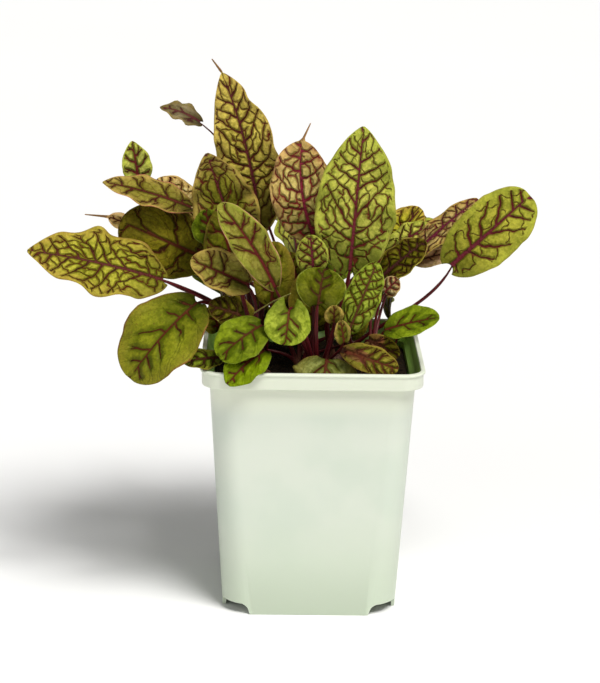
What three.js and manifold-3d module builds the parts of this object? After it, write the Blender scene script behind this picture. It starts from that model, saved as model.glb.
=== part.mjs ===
// Potted red-veined sorrel: a square nursery pot, peat, root crowns with their leaf stalks, and leaf blades.
// Millimetres, +Z up. The origin is on the pot's axis at the surface it stands on; the front faces -Y.
import * as THREE from 'three';
import { mergeVertices } from 'three/addons/utils/BufferGeometryUtils.js';
import Module from 'manifold-3d';

const wasm = await Module();
wasm.setup();

// Driving dimensions
const POT_HEIGHT = 130;
const RIM_WIDTH = 109.4;
const RIM_HEIGHT = 8.6;
const LIP_OUT = 0.8;
const LIP_HEIGHT = 1.2;
const RIM_CORNER = 11;
const BODY_TOP_WIDTH = 102;
const BODY_TOP_CORNER = 12;
const BODY_BASE_WIDTH = 88;
const BODY_BASE_CORNER = 16;
const WALL = 1.6;
const FLOOR_UNDERSIDE = 3.2;
const FLOOR_THICKNESS = 1.8;
const FOOT_WIDTH = 60;
const NOTCH_HEIGHT = 5.6;
const NOTCH_SLOPE = 4;
const CENTRE_FOOT_RADIUS = 7.5;
const SOIL_TOP = 119.5;
const SOIL_EDGE_DROP = 2;
const SOIL_SWELL = 1.1;
const CLEARANCE = 0.35;
const BLADE_THICKNESS = 0.7;
const STALK_RADIUS = 1.25;
const CROWN_RADIUS = 4.4;
const YOUNG_RADIUS = 2.8;
const CROWN_DEPTH = 10;
const CROWN_RISE = 4.2;

// Helpers
const vec = (p) => new THREE.Vector3(p[0], p[1], p[2]);
const lerp = THREE.MathUtils.lerp;
const clamp = THREE.MathUtils.clamp;

function meshGeometry(points, faces) {
  const geometry = new THREE.BufferGeometry();
  geometry.setAttribute('position', new THREE.Float32BufferAttribute(points.flat(), 3));
  geometry.setIndex(faces.flat());
  return geometry;
}

function toSolid(geometry) {
  const bare = geometry.clone();
  bare.deleteAttribute('normal');
  bare.deleteAttribute('uv');
  const merged = mergeVertices(bare, 1e-4);
  return new wasm.Manifold(new wasm.Mesh({
    numProp: 3,
    vertProperties: new Float32Array(merged.attributes.position.array),
    triVerts: new Uint32Array(merged.index.array),
  }));
}

function toGeometry(solid) {
  const mesh = solid.getMesh();
  const geometry = new THREE.BufferGeometry();
  geometry.setAttribute('position', new THREE.BufferAttribute(new Float32Array(mesh.vertProperties), 3));
  geometry.setIndex(new THREE.BufferAttribute(new Uint32Array(mesh.triVerts), 1));
  return geometry;
}

// A closed grid of rings: each ring is a list of points, all rings are alike in number and turn
// anticlockwise seen from above, and they go from the lowest to the highest.
function ringsGeometry(rings) {
  const count = rings[0].length;
  const points = rings.flat();
  const faces = [];
  for (let r = 0; r + 1 < rings.length; r += 1) {
    for (let i = 0; i < count; i += 1) {
      const j = (i + 1) % count;
      const low = r * count;
      const high = low + count;
      faces.push([low + i, low + j, high + j], [low + i, high + j, high + i]);
    }
  }
  const centreOf = (ring) => ring[0].map((_, k) => ring.reduce((sum, p) => sum + p[k], 0) / count);
  const bottom = points.push(centreOf(rings[0])) - 1;
  const top = points.push(centreOf(rings[rings.length - 1])) - 1;
  const last = (rings.length - 1) * count;
  for (let i = 0; i < count; i += 1) {
    const j = (i + 1) % count;
    faces.push([bottom, j, i], [top, last + i, last + j]);
  }
  return meshGeometry(points, faces);
}

// Pot
const CORNER_STEPS = 4;

function roundedSquare(half, radius, z) {
  const ring = [];
  for (let corner = 0; corner < 4; corner += 1) {
    const turn = corner * Math.PI / 2;
    const cx = (half - radius) * Math.SQRT2 * Math.cos(turn + Math.PI / 4);
    const cy = (half - radius) * Math.SQRT2 * Math.sin(turn + Math.PI / 4);
    for (let i = 0; i <= CORNER_STEPS; i += 1) {
      const angle = turn + (i / CORNER_STEPS) * Math.PI / 2;
      ring.push([cx + radius * Math.cos(angle), cy + radius * Math.sin(angle), z]);
    }
  }
  return ring;
}

const RIM_BOTTOM = POT_HEIGHT - RIM_HEIGHT;
const bodyHalf = (z) => lerp(BODY_BASE_WIDTH, BODY_TOP_WIDTH, z / RIM_BOTTOM) / 2;
const bodyCorner = (z) => lerp(BODY_BASE_CORNER, BODY_TOP_CORNER, clamp(z / RIM_BOTTOM, 0, 1));

function potOutside() {
  const rim = RIM_WIDTH / 2;
  const lip = rim + LIP_OUT;
  const underLip = POT_HEIGHT - LIP_HEIGHT;
  return ringsGeometry([
    roundedSquare(bodyHalf(0), bodyCorner(0), 0),
    roundedSquare(bodyHalf(RIM_BOTTOM), bodyCorner(RIM_BOTTOM), RIM_BOTTOM),
    roundedSquare(rim - 0.6, RIM_CORNER, RIM_BOTTOM + 0.1),
    roundedSquare(rim, RIM_CORNER, RIM_BOTTOM + 0.9),
    roundedSquare(rim, RIM_CORNER, underLip - 0.6),
    roundedSquare(lip, RIM_CORNER, underLip),
    roundedSquare(lip, RIM_CORNER, POT_HEIGHT),
  ]);
}

function potInside() {
  const floorTop = FLOOR_UNDERSIDE + FLOOR_THICKNESS;
  const shelf = RIM_BOTTOM - 1;
  const mouth = RIM_WIDTH / 2 - WALL;
  return ringsGeometry([
    roundedSquare(bodyHalf(floorTop) - WALL, bodyCorner(floorTop) - WALL, floorTop),
    roundedSquare(bodyHalf(shelf) - WALL, bodyCorner(shelf) - WALL, shelf),
    roundedSquare(mouth - 1, RIM_CORNER - WALL, RIM_BOTTOM + 2.4),
    roundedSquare(mouth, RIM_CORNER - WALL, POT_HEIGHT + 1),
  ]);
}

function potRecess() {
  const half = bodyHalf(0) - WALL;
  return ringsGeometry([
    roundedSquare(half, bodyCorner(0) - WALL, -1),
    roundedSquare(half + 0.1, bodyCorner(0) - WALL, FLOOR_UNDERSIDE),
  ]);
}

// The sides stand on flat feet; the four corners are cut up between them, with sloping ends.
function cornerNotch() {
  const near = FOOT_WIDTH / 2;
  const outline = new THREE.Shape();
  const reach = BODY_BASE_WIDTH;
  outline.moveTo(near, near);
  outline.lineTo(reach, near);
  outline.lineTo(reach, reach);
  outline.lineTo(near, reach);
  outline.closePath();
  const prism = new THREE.ExtrudeGeometry(outline, { depth: NOTCH_HEIGHT + 1, bevelEnabled: false });
  prism.translate(0, 0, -1);
  const position = prism.attributes.position;
  for (let i = 0; i < position.count; i += 1) {
    if (position.getZ(i) > 0) {
      if (position.getX(i) < reach - 1) position.setX(i, near + NOTCH_SLOPE);
      if (position.getY(i) < reach - 1) position.setY(i, near + NOTCH_SLOPE);
    }
  }
  return prism;
}

function potGeometry() {
  let pot = toSolid(potOutside()).subtract(toSolid(potInside())).subtract(toSolid(potRecess()));
  for (let corner = 0; corner < 4; corner += 1) {
    const notch = cornerNotch();
    notch.rotateZ(corner * Math.PI / 2);
    pot = pot.subtract(toSolid(notch));
  }
  const foot = new THREE.CylinderGeometry(CENTRE_FOOT_RADIUS, CENTRE_FOOT_RADIUS, FLOOR_UNDERSIDE + 1, 16);
  foot.rotateX(Math.PI / 2);
  foot.translate(0, 0, (FLOOR_UNDERSIDE + 1) / 2);
  return toGeometry(pot.add(toSolid(foot)));
}

// Root crowns: where the leaf stalks rise from the peat, each a knob that narrows above and below
const KNOB_FOOT_SHARE = 0.8;
const KNOB_SHOULDER_SHARE = 0.7;
const KNOB_SIDES = 8;
const HOLE_OVERRUN = 4;
const CROWNS = {
  front_left: [-24, -25],
  front_mid: [3, -26],
  front_right: [28, -23],
  mid_left: [-25, 4],
  mid_right: [13, 6],
  back: [-2, 32],
};

function crownKnob([x, y], radius) {
  const profile = [
    [0, -CROWN_DEPTH], [radius * KNOB_FOOT_SHARE, -CROWN_DEPTH], [radius, -CROWN_DEPTH * 0.6],
    [radius, 0.5], [radius * KNOB_SHOULDER_SHARE, CROWN_RISE * 0.8], [0, CROWN_RISE],
  ].map(([r, z]) => new THREE.Vector2(r, z));
  const knob = new THREE.LatheGeometry(profile, KNOB_SIDES);
  knob.rotateX(Math.PI / 2);
  knob.translate(x, y, SOIL_TOP);
  return knob;
}

function crownHole([x, y], radius) {
  const depth = CROWN_DEPTH + CLEARANCE + HOLE_OVERRUN;
  const hole = new THREE.CylinderGeometry(radius + CLEARANCE, radius + CLEARANCE, depth, KNOB_SIDES);
  hole.rotateX(Math.PI / 2);
  hole.translate(x, y, SOIL_TOP - CROWN_DEPTH - CLEARANCE + depth / 2);
  return hole;
}

// Soil: it fills the pot, with a slightly uneven top of crossing swells, whose turns are radians a mm
const SOIL_TURN_X = 0.11;
const SOIL_TURN_Y = 0.13;
const SOIL_RING_SCALES = [0.97, 0.72, 0.48, 0.24];
const soilHeight = (x, y) => (
  SOIL_TOP + SOIL_SWELL * Math.sin(x * SOIL_TURN_X + 1) * Math.cos(y * SOIL_TURN_Y - 0.5));

function soilGeometry() {
  const floorTop = FLOOR_UNDERSIDE + FLOOR_THICKNESS + CLEARANCE;
  const edge = (z, inset = 0) => roundedSquare(
    bodyHalf(z) - WALL - CLEARANCE - inset, bodyCorner(z) - WALL - CLEARANCE, z);
  const edgeTop = SOIL_TOP - SOIL_EDGE_DROP;
  const rings = [edge(floorTop, 0.2), edge(edgeTop)];
  for (const scale of SOIL_RING_SCALES) {
    rings.push(edge(edgeTop).map(([x, y]) => [x * scale, y * scale, soilHeight(x * scale, y * scale)]));
  }
  let soil = toSolid(ringsGeometry(rings));
  const holes = [
    ...Object.values(CROWNS).map((place) => crownHole(place, CROWN_RADIUS)),
    ...Object.values(YOUNG).map((plant) => crownHole(plant.root, YOUNG_RADIUS)),
  ];
  for (const hole of holes) soil = soil.subtract(toSolid(hole));
  return toGeometry(soil);
}

// Leaves. base and tip are the two ends of a blade's midrib, face is the way its upper side looks,
// width is the whole blade's. arch bows the midrib up and sway bows it sideways, fold lifts both
// halves (radians), wave is the height of the margin's waves as a share of the width, waves their
// number, phase where they start, and lobe how far the base's lobes reach back (mm).
const SHAPES = {
  tall: { swell: 0.6, taper: 0.8, lobe: 3, waves: 3.2, wave: 0.1, rows: 9 },
  broad: { swell: 0.55, taper: 0.6, lobe: 3, waves: 2.6, wave: 0.08, rows: 7 },
  round: { swell: 0.5, taper: 0.5, lobe: 2, waves: 2, wave: 0.05, rows: 7 },
  lance: { swell: 0.65, taper: 0.9, lobe: 2, waves: 3, wave: 0.09, rows: 7 },
  small: { swell: 0.5, taper: 0.62, lobe: 1.2, waves: 2, wave: 0.05, rows: 6 },
  young: { swell: 0.5, taper: 0.6, lobe: 0, waves: 1, wave: 0, rows: 5, columns: 2, arch: 0.1, fold: 0.2 },
};

const TONES = {
  olive: 0x7d7a2c,
  bronze: 0x8c6a2e,
  green: 0x6b7d2a,
  bright: 0x74932f,
  dark: 0x4f5a22,
};

const LEAVES = [
  // Tall leaves of the middle
  { name: 'tall_left', crown: 'mid_left', shape: 'tall', tone: 'olive', base: [-27, 17, 188],
    tip: [-47, 21, 266], face: [-0.1, -1, 0.2], width: 33, fold: 0.1, arch: 0.05, sway: 0.04, phase: 0.45,
    spike: [-5, -2, 7] },
  { name: 'tall_mid', crown: 'mid_right', shape: 'broad', tone: 'bronze', base: [0, 0, 187],
    tip: [-6, 14, 233], face: [-0.1, -0.9, 0.4], width: 33, fold: 0.15, arch: 0.08, sway: -0.06, phase: 0.3,
    spike: [4, 2, 8.5], swell: 0.5 },
  { name: 'tall_right', crown: 'front_mid', shape: 'tall', tone: 'green', base: [18, -18, 173],
    tip: [24, -4, 244], face: [0, -1, 0.25], width: 42, fold: 0.12, arch: 0.03, phase: 0.6 },
  { name: 'tall_low', crown: 'mid_left', shape: 'tall', tone: 'olive', base: [-38, -4, 184],
    tip: [-54, -1, 229], face: [-0.1, -1, 0.2], width: 34, fold: 0.08, phase: 0.2, swell: 0.45 },

  // Left side
  { name: 'left_long', crown: 'mid_left', shape: 'tall', tone: 'bronze', base: [-75, -12, 166],
    tip: [-142, -24, 183], face: [-0.1, -0.75, 0.65], width: 37, fold: 0.12, arch: 0.05, phase: 0.4 },
  { name: 'left_round', crown: 'front_left', shape: 'round', tone: 'green', base: [-57, -32, 160],
    tip: [-90, -46, 124], face: [-0.35, -0.8, 0.5], width: 42, fold: 0.1, arch: 0.08, phase: 0.1 },
  { name: 'left_dark', crown: 'mid_left', shape: 'round', tone: 'dark', base: [-54, 14, 171],
    tip: [-98, 10, 191], face: [0, -0.9, 0.3], width: 38, fold: -0.08, arch: 0.06, phase: 0.7 },
  { name: 'left_pale', crown: 'mid_left', shape: 'tall', tone: 'olive', base: [-62, 13, 198],
    tip: [-107, 11, 211], face: [0, -0.55, 0.8], width: 21, fold: 0.12, arch: 0.04, phase: 0.2, wave: 0.05 },
  { name: 'left_lobe', crown: 'mid_left', shape: 'small', tone: 'bright', base: [-51, -13, 186],
    tip: [-54, -14, 203], face: [0.1, -0.9, 0.4], width: 18 },
  { name: 'left_folded', crown: 'back', shape: 'lance', tone: 'green', base: [-89, 26, 207],
    tip: [-93, 30, 229], face: [0.2, -1, 0.2], width: 17, fold: 0.35, rows: 6 },
  { name: 'left_orange', crown: 'back', shape: 'broad', tone: 'bronze', base: [-63, 25, 190],
    tip: [-81, 29, 209], face: [0.1, -0.9, 0.5], width: 24, fold: 0.1, rows: 6 },
  { name: 'left_far', crown: 'back', shape: 'lance', tone: 'bronze', base: [-58, 34, 238],
    tip: [-79, 32, 246], face: [0, -0.6, 0.8], width: 14, fold: 0.1, arch: 0.1, rows: 6 },
  { name: 'left_bud', crown: 'back', shape: 'small', tone: 'bronze', base: [-94, 26, 186],
    tip: [-105, 26, 190], face: [0, -0.9, 0.4], width: 9, spike: [-12, 0, 1] },

  // Front left
  { name: 'front_pale', crown: 'front_mid', shape: 'lance', tone: 'green', base: [-19, -34, 168],
    tip: [-47, -38, 211], face: [0.15, -1, 0.3], width: 20, fold: 0.14, arch: 0.06, sway: 0.03, phase: 0.3,
    swell: 0.6, taper: 0.6 },
  { name: 'front_dark', crown: 'front_left', shape: 'tall', tone: 'dark', base: [-38, -16, 168],
    tip: [-48, -14, 204], face: [0, -1, 0.1], width: 25, fold: 0.1, rows: 7 },
  { name: 'front_folded', crown: 'front_left', shape: 'broad', tone: 'olive', base: [-33, -28, 168],
    tip: [-61, -36, 182], face: [-0.2, -0.8, 0.6], width: 24, fold: 0.35, phase: 0.3, rows: 7 },
  { name: 'front_hidden', crown: 'front_left', shape: 'small', tone: 'dark', base: [-36, -34, 154],
    tip: [-52, -38, 160], face: [-0.1, -0.8, 0.5], width: 15 },
  { name: 'front_round', crown: 'front_left', shape: 'round', tone: 'bright', base: [-25, -45, 152],
    tip: [-46, -57, 138], face: [-0.2, -0.8, 0.5], width: 24, fold: 0.08, arch: 0.1 },
  { name: 'front_over_rim', crown: 'front_left', shape: 'broad', tone: 'bright', base: [-24, -48, 140],
    tip: [-42, -62, 126], face: [-0.2, -0.8, 0.5], width: 19, arch: 0.12, rows: 7 },
  { name: 'front_corner', crown: 'front_left', shape: 'small', tone: 'dark', base: [-45, -44, 135],
    tip: [-64, -50, 134], face: [0, -0.5, 0.8], width: 14 },

  // Front middle
  { name: 'mid_bright', crown: 'front_mid', shape: 'round', tone: 'bright', base: [-12, -45, 160],
    tip: [-14, -54, 144], face: [0, -0.8, 0.5], width: 24, fold: 0.2, lobe: 7 },
  { name: 'mid_round', crown: 'front_mid', shape: 'round', tone: 'green', base: [2, -34, 159],
    tip: [5, -24, 176], face: [0.1, -0.9, 0.4], width: 26, fold: 0.1 },
  { name: 'mid_upright', crown: 'front_mid', shape: 'small', tone: 'green', base: [0, -22, 173],
    tip: [-2, -24, 193], face: [0, -1, 0.2], width: 17 },
  { name: 'mid_low', crown: 'front_mid', shape: 'round', tone: 'green', base: [7, -40, 134],
    tip: [5, -50, 124], face: [0, -0.6, 0.8], width: 33, fold: -0.1, rows: 6 },
  { name: 'mid_tiny', crown: 'front_mid', shape: 'small', tone: 'olive', base: [10, -40, 152],
    tip: [10, -43, 162], face: [0, -0.8, 0.5], width: 10 },
  { name: 'mid_edge', crown: 'front_left', shape: 'small', tone: 'olive', base: [-29, -40, 157],
    tip: [-11, -40, 167], face: [-0.5, 0.25, 1], width: 5 },

  // Front right
  { name: 'right_crinkled', crown: 'front_right', shape: 'broad', tone: 'bright', base: [18, -36, 148],
    tip: [31, -30, 181], face: [0.1, -1, 0.3], width: 18, rows: 8, wave: 0.12, waves: 4 },
  { name: 'right_oval', crown: 'front_right', shape: 'broad', tone: 'bright', base: [35, -34, 147],
    tip: [62, -42, 156], face: [0, -0.6, 0.8], width: 20, fold: 0.15, wave: 0.02, lobe: 0.5 },
  { name: 'right_low', crown: 'front_right', shape: 'broad', tone: 'olive', base: [16, -45, 139],
    tip: [42, -49, 131], face: [0.1, -0.9, 0.45], width: 15, fold: 0.1 },
  { name: 'right_small', crown: 'front_mid', shape: 'small', tone: 'olive', base: [15, -44, 143],
    tip: [13, -45, 155], face: [0.3, -0.9, 0.2], width: 9 },
  { name: 'right_maroon', crown: 'front_right', shape: 'small', tone: 'dark', base: [27, -37, 143],
    tip: [43, -38, 135], face: [0.2, -1, 0.1], width: 12 },

  // Right side
  { name: 'right_long', crown: 'front_right', shape: 'lance', tone: 'dark', base: [46, 9, 170],
    tip: [84, 15, 204], face: [-0.3, -0.8, 0.5], width: 14, fold: 0.1, arch: 0.05, phase: 0.1,
    taper: 0.6, lobe: 0.5 },
  { name: 'right_net', crown: 'front_right', shape: 'broad', tone: 'dark', base: [35, -3, 167],
    tip: [57, 1, 185], face: [-0.3, -0.8, 0.5], width: 18, fold: 0.12, phase: 0.6, rows: 6 },
  { name: 'right_round', crown: 'mid_right', shape: 'round', tone: 'green', base: [69, -8, 174],
    tip: [108, -6, 210.5], face: [0.05, -1, 0.2], width: 33, fold: 0.08, phase: 0.5, swell: 0.42, taper: 0.4,
    lobe: 3, stalk: 0.7, bend: [6, 0, -10] },
  { name: 'right_under', crown: 'mid_right', shape: 'small', tone: 'dark', base: [52, 18, 170],
    tip: [73, 21, 175], face: [0, -0.8, 0.5], width: 11 },
  { name: 'right_back', crown: 'back', shape: 'broad', tone: 'bronze', base: [37, 22, 175],
    tip: [56, 28, 196], face: [0, -1, 0.3], width: 20, rows: 7 },
  { name: 'right_grey', crown: 'mid_right', shape: 'broad', tone: 'green', base: [40, 18, 176],
    tip: [60, 20, 189], face: [0, -0.8, 0.6], width: 16, rows: 6 },
  { name: 'right_pink', crown: 'front_right', shape: 'small', tone: 'bronze', base: [36, -10, 160],
    tip: [43, -11, 168], face: [-0.4, -0.8, 0.3], width: 11 },

  // Back, away from the front view
  { name: 'back_high_left', crown: 'back', shape: 'tall', tone: 'olive', base: [-26, 40, 182],
    tip: [-36, 60, 236], face: [-0.5, -0.9, 0.3], width: 34, fold: 0.12, arch: 0.05, phase: 0.2 },
  { name: 'back_high_mid', crown: 'back', shape: 'tall', tone: 'green', base: [6, 44, 176],
    tip: [16, 62, 214], face: [0.7, -0.8, 0.4], width: 32, fold: 0.1, arch: 0.08, phase: 0.7 },
  { name: 'back_left_long', crown: 'back', shape: 'tall', tone: 'olive', base: [-44, 44, 160],
    tip: [-86, 76, 176], face: [-0.4, -0.7, 0.8], width: 34, fold: 0.12, arch: 0.08, phase: 0.5 },
  { name: 'back_mid_long', crown: 'back', shape: 'tall', tone: 'green', base: [-8, 56, 158],
    tip: [-18, 104, 176], face: [0.8, -0.3, 0.8], width: 34, fold: 0.12, arch: 0.1, phase: 0.1 },
  { name: 'back_right_long', crown: 'back', shape: 'tall', tone: 'bronze', base: [30, 50, 160],
    tip: [62, 84, 180], face: [0.5, -0.6, 0.8], width: 32, fold: 0.12, arch: 0.1, phase: 0.9 },
  { name: 'back_right_side', crown: 'back', shape: 'broad', tone: 'green', base: [48, 32, 172],
    tip: [90, 46, 182], face: [-0.1, -0.5, 0.9], width: 28, fold: 0.1, arch: 0.06, phase: 0.4 },
  { name: 'back_low_left', crown: 'back', shape: 'round', tone: 'bright', base: [-28, 55, 138],
    tip: [-40, 73, 123], face: [-0.2, 0.7, 0.6], width: 24, arch: 0.1 },
  { name: 'back_low_right', crown: 'back', shape: 'round', tone: 'bright', base: [20, 55, 139],
    tip: [30, 74, 124], face: [0.2, 0.7, 0.6], width: 26, arch: 0.1 },
];

// Young plants low in the bunch: the stalks and blades of each are one piece
const YOUNG = {
  young_middle: { root: [-6, -10], color: 0x46551f, leaves: [
    { base: [-21, -8, 152], tip: [-19, 0, 184], face: [0.1, -1, 0.1], width: 22 },
    { base: [1, -10, 142], tip: [-3, -6, 170], face: [0, -1, 0.2], width: 24 },
    { base: [19, -13, 136], tip: [23, -12, 164], face: [0.1, -1, 0.2], width: 16 },
    { base: [-32, -14, 134], tip: [-40, -10, 158], face: [0, -1, 0.2], width: 18 },
    { base: [-8, -1, 164], tip: [-12, 2, 178], face: [0.2, -1, 0.2], width: 11 },
  ] },
  young_inner: { root: [-3, 17], color: 0x46551f, leaves: [
    { base: [-12, 13, 132], tip: [-15, 15, 153], face: [0.1, -1, 0.1], width: 20 },
    { base: [1, 13, 134], tip: [3, 15, 157], face: [0, -1, 0.1], width: 25 },
    { base: [17, 16, 134], tip: [22, 19, 155], face: [-0.1, -1, 0.1], width: 22 },
    { base: [-27, 22, 134], tip: [-33, 24, 150], face: [0.1, -1, 0.1], width: 17 },
  ] },
  young_right: { root: [40, 15], color: 0x4f6120, leaves: [
    { base: [41, 20, 138], tip: [46, 22, 162], face: [-1, -0.2, 0.2], width: 19 },
    { base: [46, 24, 134], tip: [59, 34, 140], face: [-0.5, -0.4, 0.8], width: 15 },
    { base: [44, 10, 130], tip: [50, 20, 138], face: [-0.6, -0.4, 0.7], width: 12 },
  ] },
  young_left: { root: [-40, 10], color: 0x5c7526, leaves: [
    { base: [-51, 4, 138], tip: [-68, 6, 131], face: [0.3, -0.2, 0.9], width: 18 },
    { base: [-50, 18, 138], tip: [-67, 27, 134], face: [0.3, -0.2, 0.9], width: 19 },
    { base: [-46, 25, 146], tip: [-54, 29, 168], face: [1, -0.3, 0.4], width: 19 },
    { base: [-47, -5, 138], tip: [-52, -8, 152], face: [0.1, -0.8, 0.4], width: 15 },
  ] },
  young_back_left: { root: [-26, 36], color: 0x64802a, leaves: [
    { base: [-36, 46, 148], tip: [-54, 62, 145], face: [0.4, -0.4, 0.9], width: 21 },
    { base: [-23, 44, 150], tip: [-26, 64, 154], face: [0, -0.4, 0.9], width: 20 },
    { base: [-42, 38, 146], tip: [-62, 46, 155], face: [0.4, -0.4, 0.9], width: 20 },
    { base: [-27, 46, 154], tip: [-34, 58, 172], face: [0.2, -0.8, 0.6], width: 20 },
  ] },
  young_back_right: { root: [22, 38], color: 0x6a7a2a, leaves: [
    { base: [28, 46, 142], tip: [42, 61, 137], face: [-0.4, -0.4, 0.9], width: 20 },
    { base: [12, 54, 150], tip: [15, 72, 160], face: [0, -0.6, 0.8], width: 21 },
    { base: [34, 40, 143], tip: [45, 50, 151], face: [-0.4, -0.6, 0.8], width: 19 },
    { base: [6, 50, 136], tip: [2, 68, 134], face: [0, -0.4, 0.9], width: 19 },
  ] },
};

const leafOf = (row) => ({
  fold: 0, arch: 0.03, sway: 0, phase: 0, columns: 4, stalk: 1, bend: [0, 0, 0],
  ...SHAPES[row.shape], ...row,
});

function bladeAxes(leaf) {
  const base = vec(leaf.base);
  const along = vec(leaf.tip).sub(base);
  const length = along.length();
  along.normalize();
  const across = new THREE.Vector3().crossVectors(along, vec(leaf.face)).normalize();
  const up = new THREE.Vector3().crossVectors(across, along);
  return { base, along, across, up, length };
}

// The midrib's point at share s of its length, from the base to the tip
function midrib(leaf, axes, s) {
  const bow = 4 * s * (1 - s) * axes.length;
  return axes.base.clone()
    .addScaledVector(axes.along, axes.length * s)
    .addScaledVector(axes.up, leaf.arch * bow)
    .addScaledVector(axes.across, leaf.sway * bow);
}

const SMALL_STEP = 1e-3;

function bladeFrame(leaf, axes, s) {
  const point = midrib(leaf, axes, s);
  const along = midrib(leaf, axes, s + SMALL_STEP).sub(midrib(leaf, axes, s - SMALL_STEP)).normalize();
  const across = axes.across.clone().addScaledVector(along, -axes.across.dot(along)).normalize();
  const up = new THREE.Vector3().crossVectors(across, along);
  return { point, along, across, up };
}

const LEAST_HALF_WIDTH = 0.5;

// Half width: swell shapes the base end, taper the tip end, and the widest place lies between them
function halfWidth(leaf, s) {
  const widest = leaf.swell / (leaf.swell + leaf.taper);
  const share = clamp(s, 0, 1);
  const size = (share / widest) ** leaf.swell * ((1 - share) / (1 - widest)) ** leaf.taper;
  return Math.max(leaf.width / 2 * size, LEAST_HALF_WIDTH);
}

// How far the waves of the one margin lead those of the other, in radians
const WAVE_LEAD = 1.3;

// A point of the blade's middle surface; v runs from -1 to 1 across it
function bladePoint(leaf, axes, s, v) {
  const frame = bladeFrame(leaf, axes, s);
  const reach = Math.abs(v);
  const side = Math.sign(v);
  const half = halfWidth(leaf, s);
  const ripple = Math.sin(2 * Math.PI * (leaf.waves * s + leaf.phase) + WAVE_LEAD * side);
  const lift = leaf.wave * leaf.width * reach * reach * ripple * Math.sin(Math.PI * clamp(s, 0, 1));
  const back = leaf.lobe * reach ** 2.5 * (1 - s) ** 4;
  return frame.point
    .addScaledVector(frame.across, half * v * Math.cos(leaf.fold))
    .addScaledVector(frame.up, half * reach * Math.sin(leaf.fold) + lift)
    .addScaledVector(frame.along, -back);
}

function bladeNormal(leaf, axes, s, v) {
  const ahead = bladePoint(leaf, axes, s + SMALL_STEP, v).sub(bladePoint(leaf, axes, s - SMALL_STEP, v));
  const right = bladePoint(leaf, axes, s, v + SMALL_STEP).sub(bladePoint(leaf, axes, s, v - SMALL_STEP));
  return right.cross(ahead).normalize();
}

// The first and last rows keep these distances to the midrib's ends. The rows stand closer together
// there, where the outline turns: END_CROWDING is the share of that in their spacing.
const FIRST_GAP = 0.4;
const LAST_GAP = 0.3;
const END_CROWDING = 0.6;

function bladeStations(leaf, length) {
  const start = FIRST_GAP / length;
  const end = 1 - LAST_GAP / length;
  return Array.from({ length: leaf.rows + 1 }, (_, i) => {
    const even = i / leaf.rows;
    const rounded = 0.5 - 0.5 * Math.cos(Math.PI * even);
    return lerp(start, end, lerp(even, rounded, END_CROWDING));
  });
}

const SPIKE_SHARES = [0.2, 1];
const SPIKE_START_HALF = 0.8;
const SPIKE_END_HALF = 0.4;
const NEAR_TIP = 0.99;

// A thin straight point that some tips run out into, as rows past the tip
function spikeRows(leaf, axes) {
  if (!leaf.spike) return [];
  const reach = vec(leaf.spike);
  const tip = midrib(leaf, axes, 1);
  const { across, up } = bladeFrame(leaf, axes, NEAR_TIP);
  return SPIKE_SHARES.map((u) => {
    const centre = tip.clone().addScaledVector(reach, u);
    return { centre, across, up, half: lerp(SPIKE_START_HALF, SPIKE_END_HALF, u) };
  });
}

function bladeGeometry(leaf) {
  const axes = bladeAxes(leaf);
  const upper = [];
  const lower = [];
  const push = (point, normal) => {
    upper.push(point.clone().addScaledVector(normal, BLADE_THICKNESS / 2).toArray());
    lower.push(point.clone().addScaledVector(normal, -BLADE_THICKNESS / 2).toArray());
  };
  for (const s of bladeStations(leaf, axes.length)) {
    for (let c = 0; c <= leaf.columns; c += 1) {
      const v = 2 * c / leaf.columns - 1;
      push(bladePoint(leaf, axes, s, v), bladeNormal(leaf, axes, s, v));
    }
  }
  for (const row of spikeRows(leaf, axes)) {
    for (let c = 0; c <= leaf.columns; c += 1) {
      const v = 2 * c / leaf.columns - 1;
      push(row.centre.clone().addScaledVector(row.across, row.half * v), row.up);
    }
  }
  return closedSheet(upper, lower, leaf.columns + 1);
}

// Joins two like grids of points, an upper and a lower one, into one closed sheet
function closedSheet(upper, lower, perRow) {
  const count = upper.length;
  const rows = count / perRow;
  const faces = [];
  for (let r = 0; r + 1 < rows; r += 1) {
    for (let c = 0; c + 1 < perRow; c += 1) {
      const a = r * perRow + c;
      const b = a + 1;
      const d = a + perRow;
      const e = d + 1;
      faces.push([a, b, e], [a, e, d]);
      faces.push([count + a, count + e, count + b], [count + a, count + d, count + e]);
    }
  }
  const border = [];
  for (let c = 0; c + 1 < perRow; c += 1) border.push(c);
  for (let r = 0; r + 1 < rows; r += 1) border.push(r * perRow + perRow - 1);
  for (let c = perRow - 1; c > 0; c -= 1) border.push((rows - 1) * perRow + c);
  for (let r = rows - 1; r > 0; r -= 1) border.push(r * perRow);
  for (let i = 0; i < border.length; i += 1) {
    const a = border[i];
    const b = border[(i + 1) % border.length];
    faces.push([a, count + a, count + b], [a, count + b, b]);
  }
  return meshGeometry([...upper, ...lower], faces);
}

// Leaf stalks: each leaves its crown on the side of its leaf and ends close under the blade's base
const STALK_STEPS = 5;
const STALK_UNDERLAP = 2;
const STALK_TAPER = [1.1, 0.75];
const STALK_WIDTH_RANGE = [0.62, 1.15];
const USUAL_BLADE_WIDTH = 26;
const ROOT_SPREAD = 0.45;
const SPLAY = 0.12;
const RISE_SHARE = 0.4;
const SWEEP_SHARE = 0.3;

// Wide blades have thick stalks; a leaf's stalk value scales its own
const stalkRadius = (leaf, u) => (
  STALK_RADIUS * leaf.stalk * lerp(...STALK_TAPER, u)
  * clamp(leaf.width / USUAL_BLADE_WIDTH, ...STALK_WIDTH_RANGE));

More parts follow.
